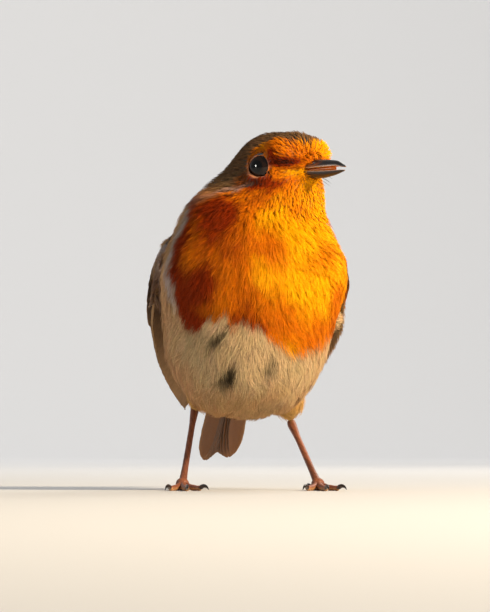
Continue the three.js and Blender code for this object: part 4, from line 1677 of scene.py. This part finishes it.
# Shins, toes and claws.
legs = [
    {"name": "left", "side": 1, "ankle": (12.2, 21.8, 16), "footOut": 16.2},
    {"name": "right", "side": -1, "ankle": (11, 21.4, 19.6), "footOut": 15.6},
]
toes = [
    {"number": 3, "length": 13.5, "turn": 1, "claw": 4.4},
    {"number": 2, "length": 9.2, "turn": -22, "claw": 4},
    {"number": 4, "length": 9.8, "turn": 22, "claw": 3.8},
    {"number": 1, "length": 7.6, "turn": 186, "claw": 5.6},
]
foot = {
    "height": 1.45,
    "ball": 1.6,
    "tarsus": 25.5,
    "heel": 0.7,
    "shin": [(0, 1.05), (0.2, 0.8), (0.75, 0.75), (0.9, 1.05), (1, 1.15)],
    "shields": 9,
    "skin": srgb(146, 88, 64),
    "groove": srgb(80, 44, 32),
    "sole": srgb(176, 128, 84),
    "clawRoot": (0.42, 0.56),  # half width and half height
    "claw": srgb(52, 40, 34),
    "clawTip": srgb(20, 16, 15),
}
floorLevel = 0.012  # mm, the soles' flats


def footPoint(leg):
    x, y, z = leg["ankle"]
    sideways, down = leg["footOut"] - x, z - foot["height"]
    ahead = math.sqrt(foot["tarsus"] ** 2 - sideways**2 - down**2)
    return np.array((leg["side"] * leg["footOut"], y - ahead, foot["height"])) + packShift


def limbPlace(points, size, across):
    # a tube along a curve with rounded ends; size gives half width and half height
    def place(along, turnAt):
        middle = curveThrough(points, along)
        later, sooner = np.minimum(along + 0.01, 1), np.maximum(along - 0.01, 0)
        ahead = unit(curveThrough(points, later) - curveThrough(points, sooner))
        side = unit(across - ahead * (ahead @ across)[:, None])
        over = np.cross(ahead, side)
        wide, high = size(along, turnAt)
        path = curveThrough(points, np.linspace(0, 1, 40))
        span = np.linalg.norm(np.diff(path, axis=0), axis=1).sum()
        cap = np.minimum(along, 1 - along) * span
        close = np.sqrt(np.clip(1 - np.maximum(0, 1 - cap / np.maximum(wide, high)) ** 2, 0, 1))
        spots = middle + side * (np.cos(turnAt) * wide * close)[:, None]
        spots = spots + over * (np.sin(turnAt) * high * close)[:, None]
        spots[:, 2] = np.maximum(spots[:, 2], floorLevel)
        return spots * mm

    return place


def ringed(along, count, gap):
    # 1 on a shield and 0 in the groove between two
    phase = np.abs((along * count) % 1 - 0.5) * 2
    return smoothStep(1, 1 - gap, phase)


def makeShin(leg, scaly):
    base = footPoint(leg)
    ankle = np.array((leg["side"] * leg["ankle"][0], *leg["ankle"][1:])) + packShift
    toAnkle = unit(ankle - base)
    points = [base, (base + ankle) / 2 + np.array((0, -0.15, 0)), ankle + toAnkle * foot["heel"]]
    front = lambda turnAt: smoothStep(-0.2, 0.5, -np.sin(turnAt))

    def size(along, turnAt):
        r = easedStations(foot["shin"], along, 0.06)
        shield = ringed(along, foot["shields"], 0.14)
        r = r * (1 + 0.07 * (shield - 1) * front(turnAt))
        behind = 1 - 0.12 * (1 - front(turnAt)) * np.abs(np.cos(turnAt))
        return r * behind, r * 1.12

    bm, along, turnAt = wrapped(32, 150, limbPlace(points, size, np.array((1.0, 0, 0))))
    shield = ringed(along, foot["shields"], 0.2)
    colour = mixed(foot["skin"], foot["groove"], (1 - shield) * (0.25 + 0.75 * front(turnAt)) * 0.8)
    # painted shade: the upper part of the shin, under the body, is darker
    colour = mixed(colour, foot["groove"], smoothStep(0.35, 0.85, along) * 0.5)
    ball = bmesh.new()
    bmesh.ops.create_uvsphere(ball, u_segments=32, v_segments=24, radius=foot["ball"] * mm)
    for vert in ball.verts:
        vert.co.z = max(vert.co.z + base[2] * mm, floorLevel * mm)
        vert.co.x += base[0] * mm
        vert.co.y += base[1] * mm
    count = len(ball.verts)
    added(bm, ball)
    piece = newPiece(f"shin_{leg['name']}", bm, [scaly])
    setTint(piece.data, np.concatenate([colour, np.tile(foot["skin"] * 0.85, (count, 1))]))
    finished(piece, "leg_scales", f"tarsus_{leg['name']}")


def makeToe(leg, toe, scaly, hornClaw):
    turn = math.radians(toe["turn"]) * leg["side"]
    ahead = np.array((math.sin(turn), -math.cos(turn), 0))
    across = np.cross(ahead, (0, 0, 1))
    base = footPoint(leg) * np.array((1, 1, 0))
    at = lambda out, height: base + ahead * out + np.array((0, 0, height))
    length = toe["length"]
    points = [at(0.2, 1.5), at(length * 0.3, 1.0), at(length * 0.65, 0.66), at(length, 0.6)]
    pads = length / 3.2
    shields = round(length / 0.85)

    def size(along, turnAt):
        # sine is below 0 on the sole
        topside = smoothStep(-0.1, 0.5, -np.sin(turnAt) * soleSign)
        pad = 0.09 * np.cos(2 * math.pi * pads * (1 - along)) * (1 - topside * 0.6)
        r = 0.82 + (0.62 - 0.82) * along + pad
        r = r * (1 + 0.1 * (ringed(along, shields, 0.3) - 1) * topside)
        return r, r

    # which way round the sole lies follows from the toe's direction
    soleSign = 1
    trial = limbPlace(points, lambda a, b: (np.ones_like(a) * 0.5,) * 2, across)
    probe = trial(np.array([0.5, 0.5]), np.array([math.pi / 2, -math.pi / 2]))
    if probe[0, 2] > probe[1, 2]:
        soleSign = -1
    bm, along, turnAt = wrapped(24, 90, limbPlace(points, size, across))
    topside = smoothStep(-0.1, 0.5, -np.sin(turnAt) * soleSign)
    shield = ringed(along, shields, 0.35)
    colour = mixed(foot["sole"], foot["skin"], topside)
    colour = mixed(colour, foot["groove"], (1 - shield) * topside * 0.8)
    name = f"{leg['name']}_{toe['number']}"
    piece = newPiece(f"toePads_{name}", bm, [scaly])
    setTint(piece.data, colour)
    finished(piece, "leg_scales", f"toe_{name}")

    out = length + 0.3
    c = toe["claw"]
    arc = [at(out - 0.5, 0.72), at(out + c * 0.35, 1.15), at(out + c * 0.75, 0.95), at(out + c, 0.28)]
    slim = lambda along, turnAt: [root * (1 - along**1.3) + 0.05 for root in foot["clawRoot"]]
    bm, along, turnAt = wrapped(16, 40, limbPlace(arc, slim, across))
    piece = newPiece(f"hornClaw_{name}", bm, [hornClaw])
    setTint(piece.data, mixed(foot["claw"], foot["clawTip"], smoothStep(0.1, 0.8, along)))
    finished(piece, "claw", f"claw_{name}")


def makeLegs():
    scaly = tintMaterial(
        "legSkin", {"roughness": 0.45, "grain": 1600, "uneven": 0.16, "dent": 0.04, "specular": 0.4}
    )
    hornClaw = tintMaterial("clawHorn", {"roughness": 0.3, "grain": 1500, "uneven": 0.15, "dent": 0.02})
    for leg in legs:
        makeShin(leg, scaly)
        for toe in toes:
            makeToe(leg, toe, scaly, hornClaw)


makeLegs()
print("legs made")


# Fine dark bristles at the corners of the mouth.
bristles = {"count": 7, "length": 3.6, "thick": 0.055, "seed": 3, "colour": srgb(34, 26, 22)}


def makeBristles():
    rng = np.random.default_rng(bristles["seed"])
    bm = bmesh.new()
    for side in (1, -1):
        for n in range(bristles["count"]):
            share = n / (bristles["count"] - 1)
            spot = (side * (2.2 + 1.2 * rng.random()), 9.2 + rng.random() * 1.8, -4.2 + share * 3.2)
            start = np.array(skinTree.find_nearest(inHead(*spot))[0][:]) / mm
            way = (side * (0.25 + 0.5 * rng.random()), 0.85, -0.75 + share * 0.5 + rng.uniform(-0.2, 0.2))
            way = np.array(headAxis(*way))
            way = way / np.linalg.norm(way) * bristles["length"] * rng.uniform(0.6, 1.1)
            points = [start, start + way * 0.5, start + way + np.array((0, 0, -0.3))]
            slim = lambda along, turnAt: ((bristles["thick"] * (1 - along) + 0.012,) * 2)
            added(bm, wrapped(6, 10, limbPlace(points, slim, np.array((0.1, 0.2, 1.0))))[0])
    dark = tintMaterial("bristleHorn", {"roughness": 0.4, "grain": 1500, "uneven": 0.1})
    piece = newPiece("bristles", bm, [dark])
    setTint(piece.data, bristles["colour"])
    finished(piece, "claw")


makeBristles()
print("bristles made")
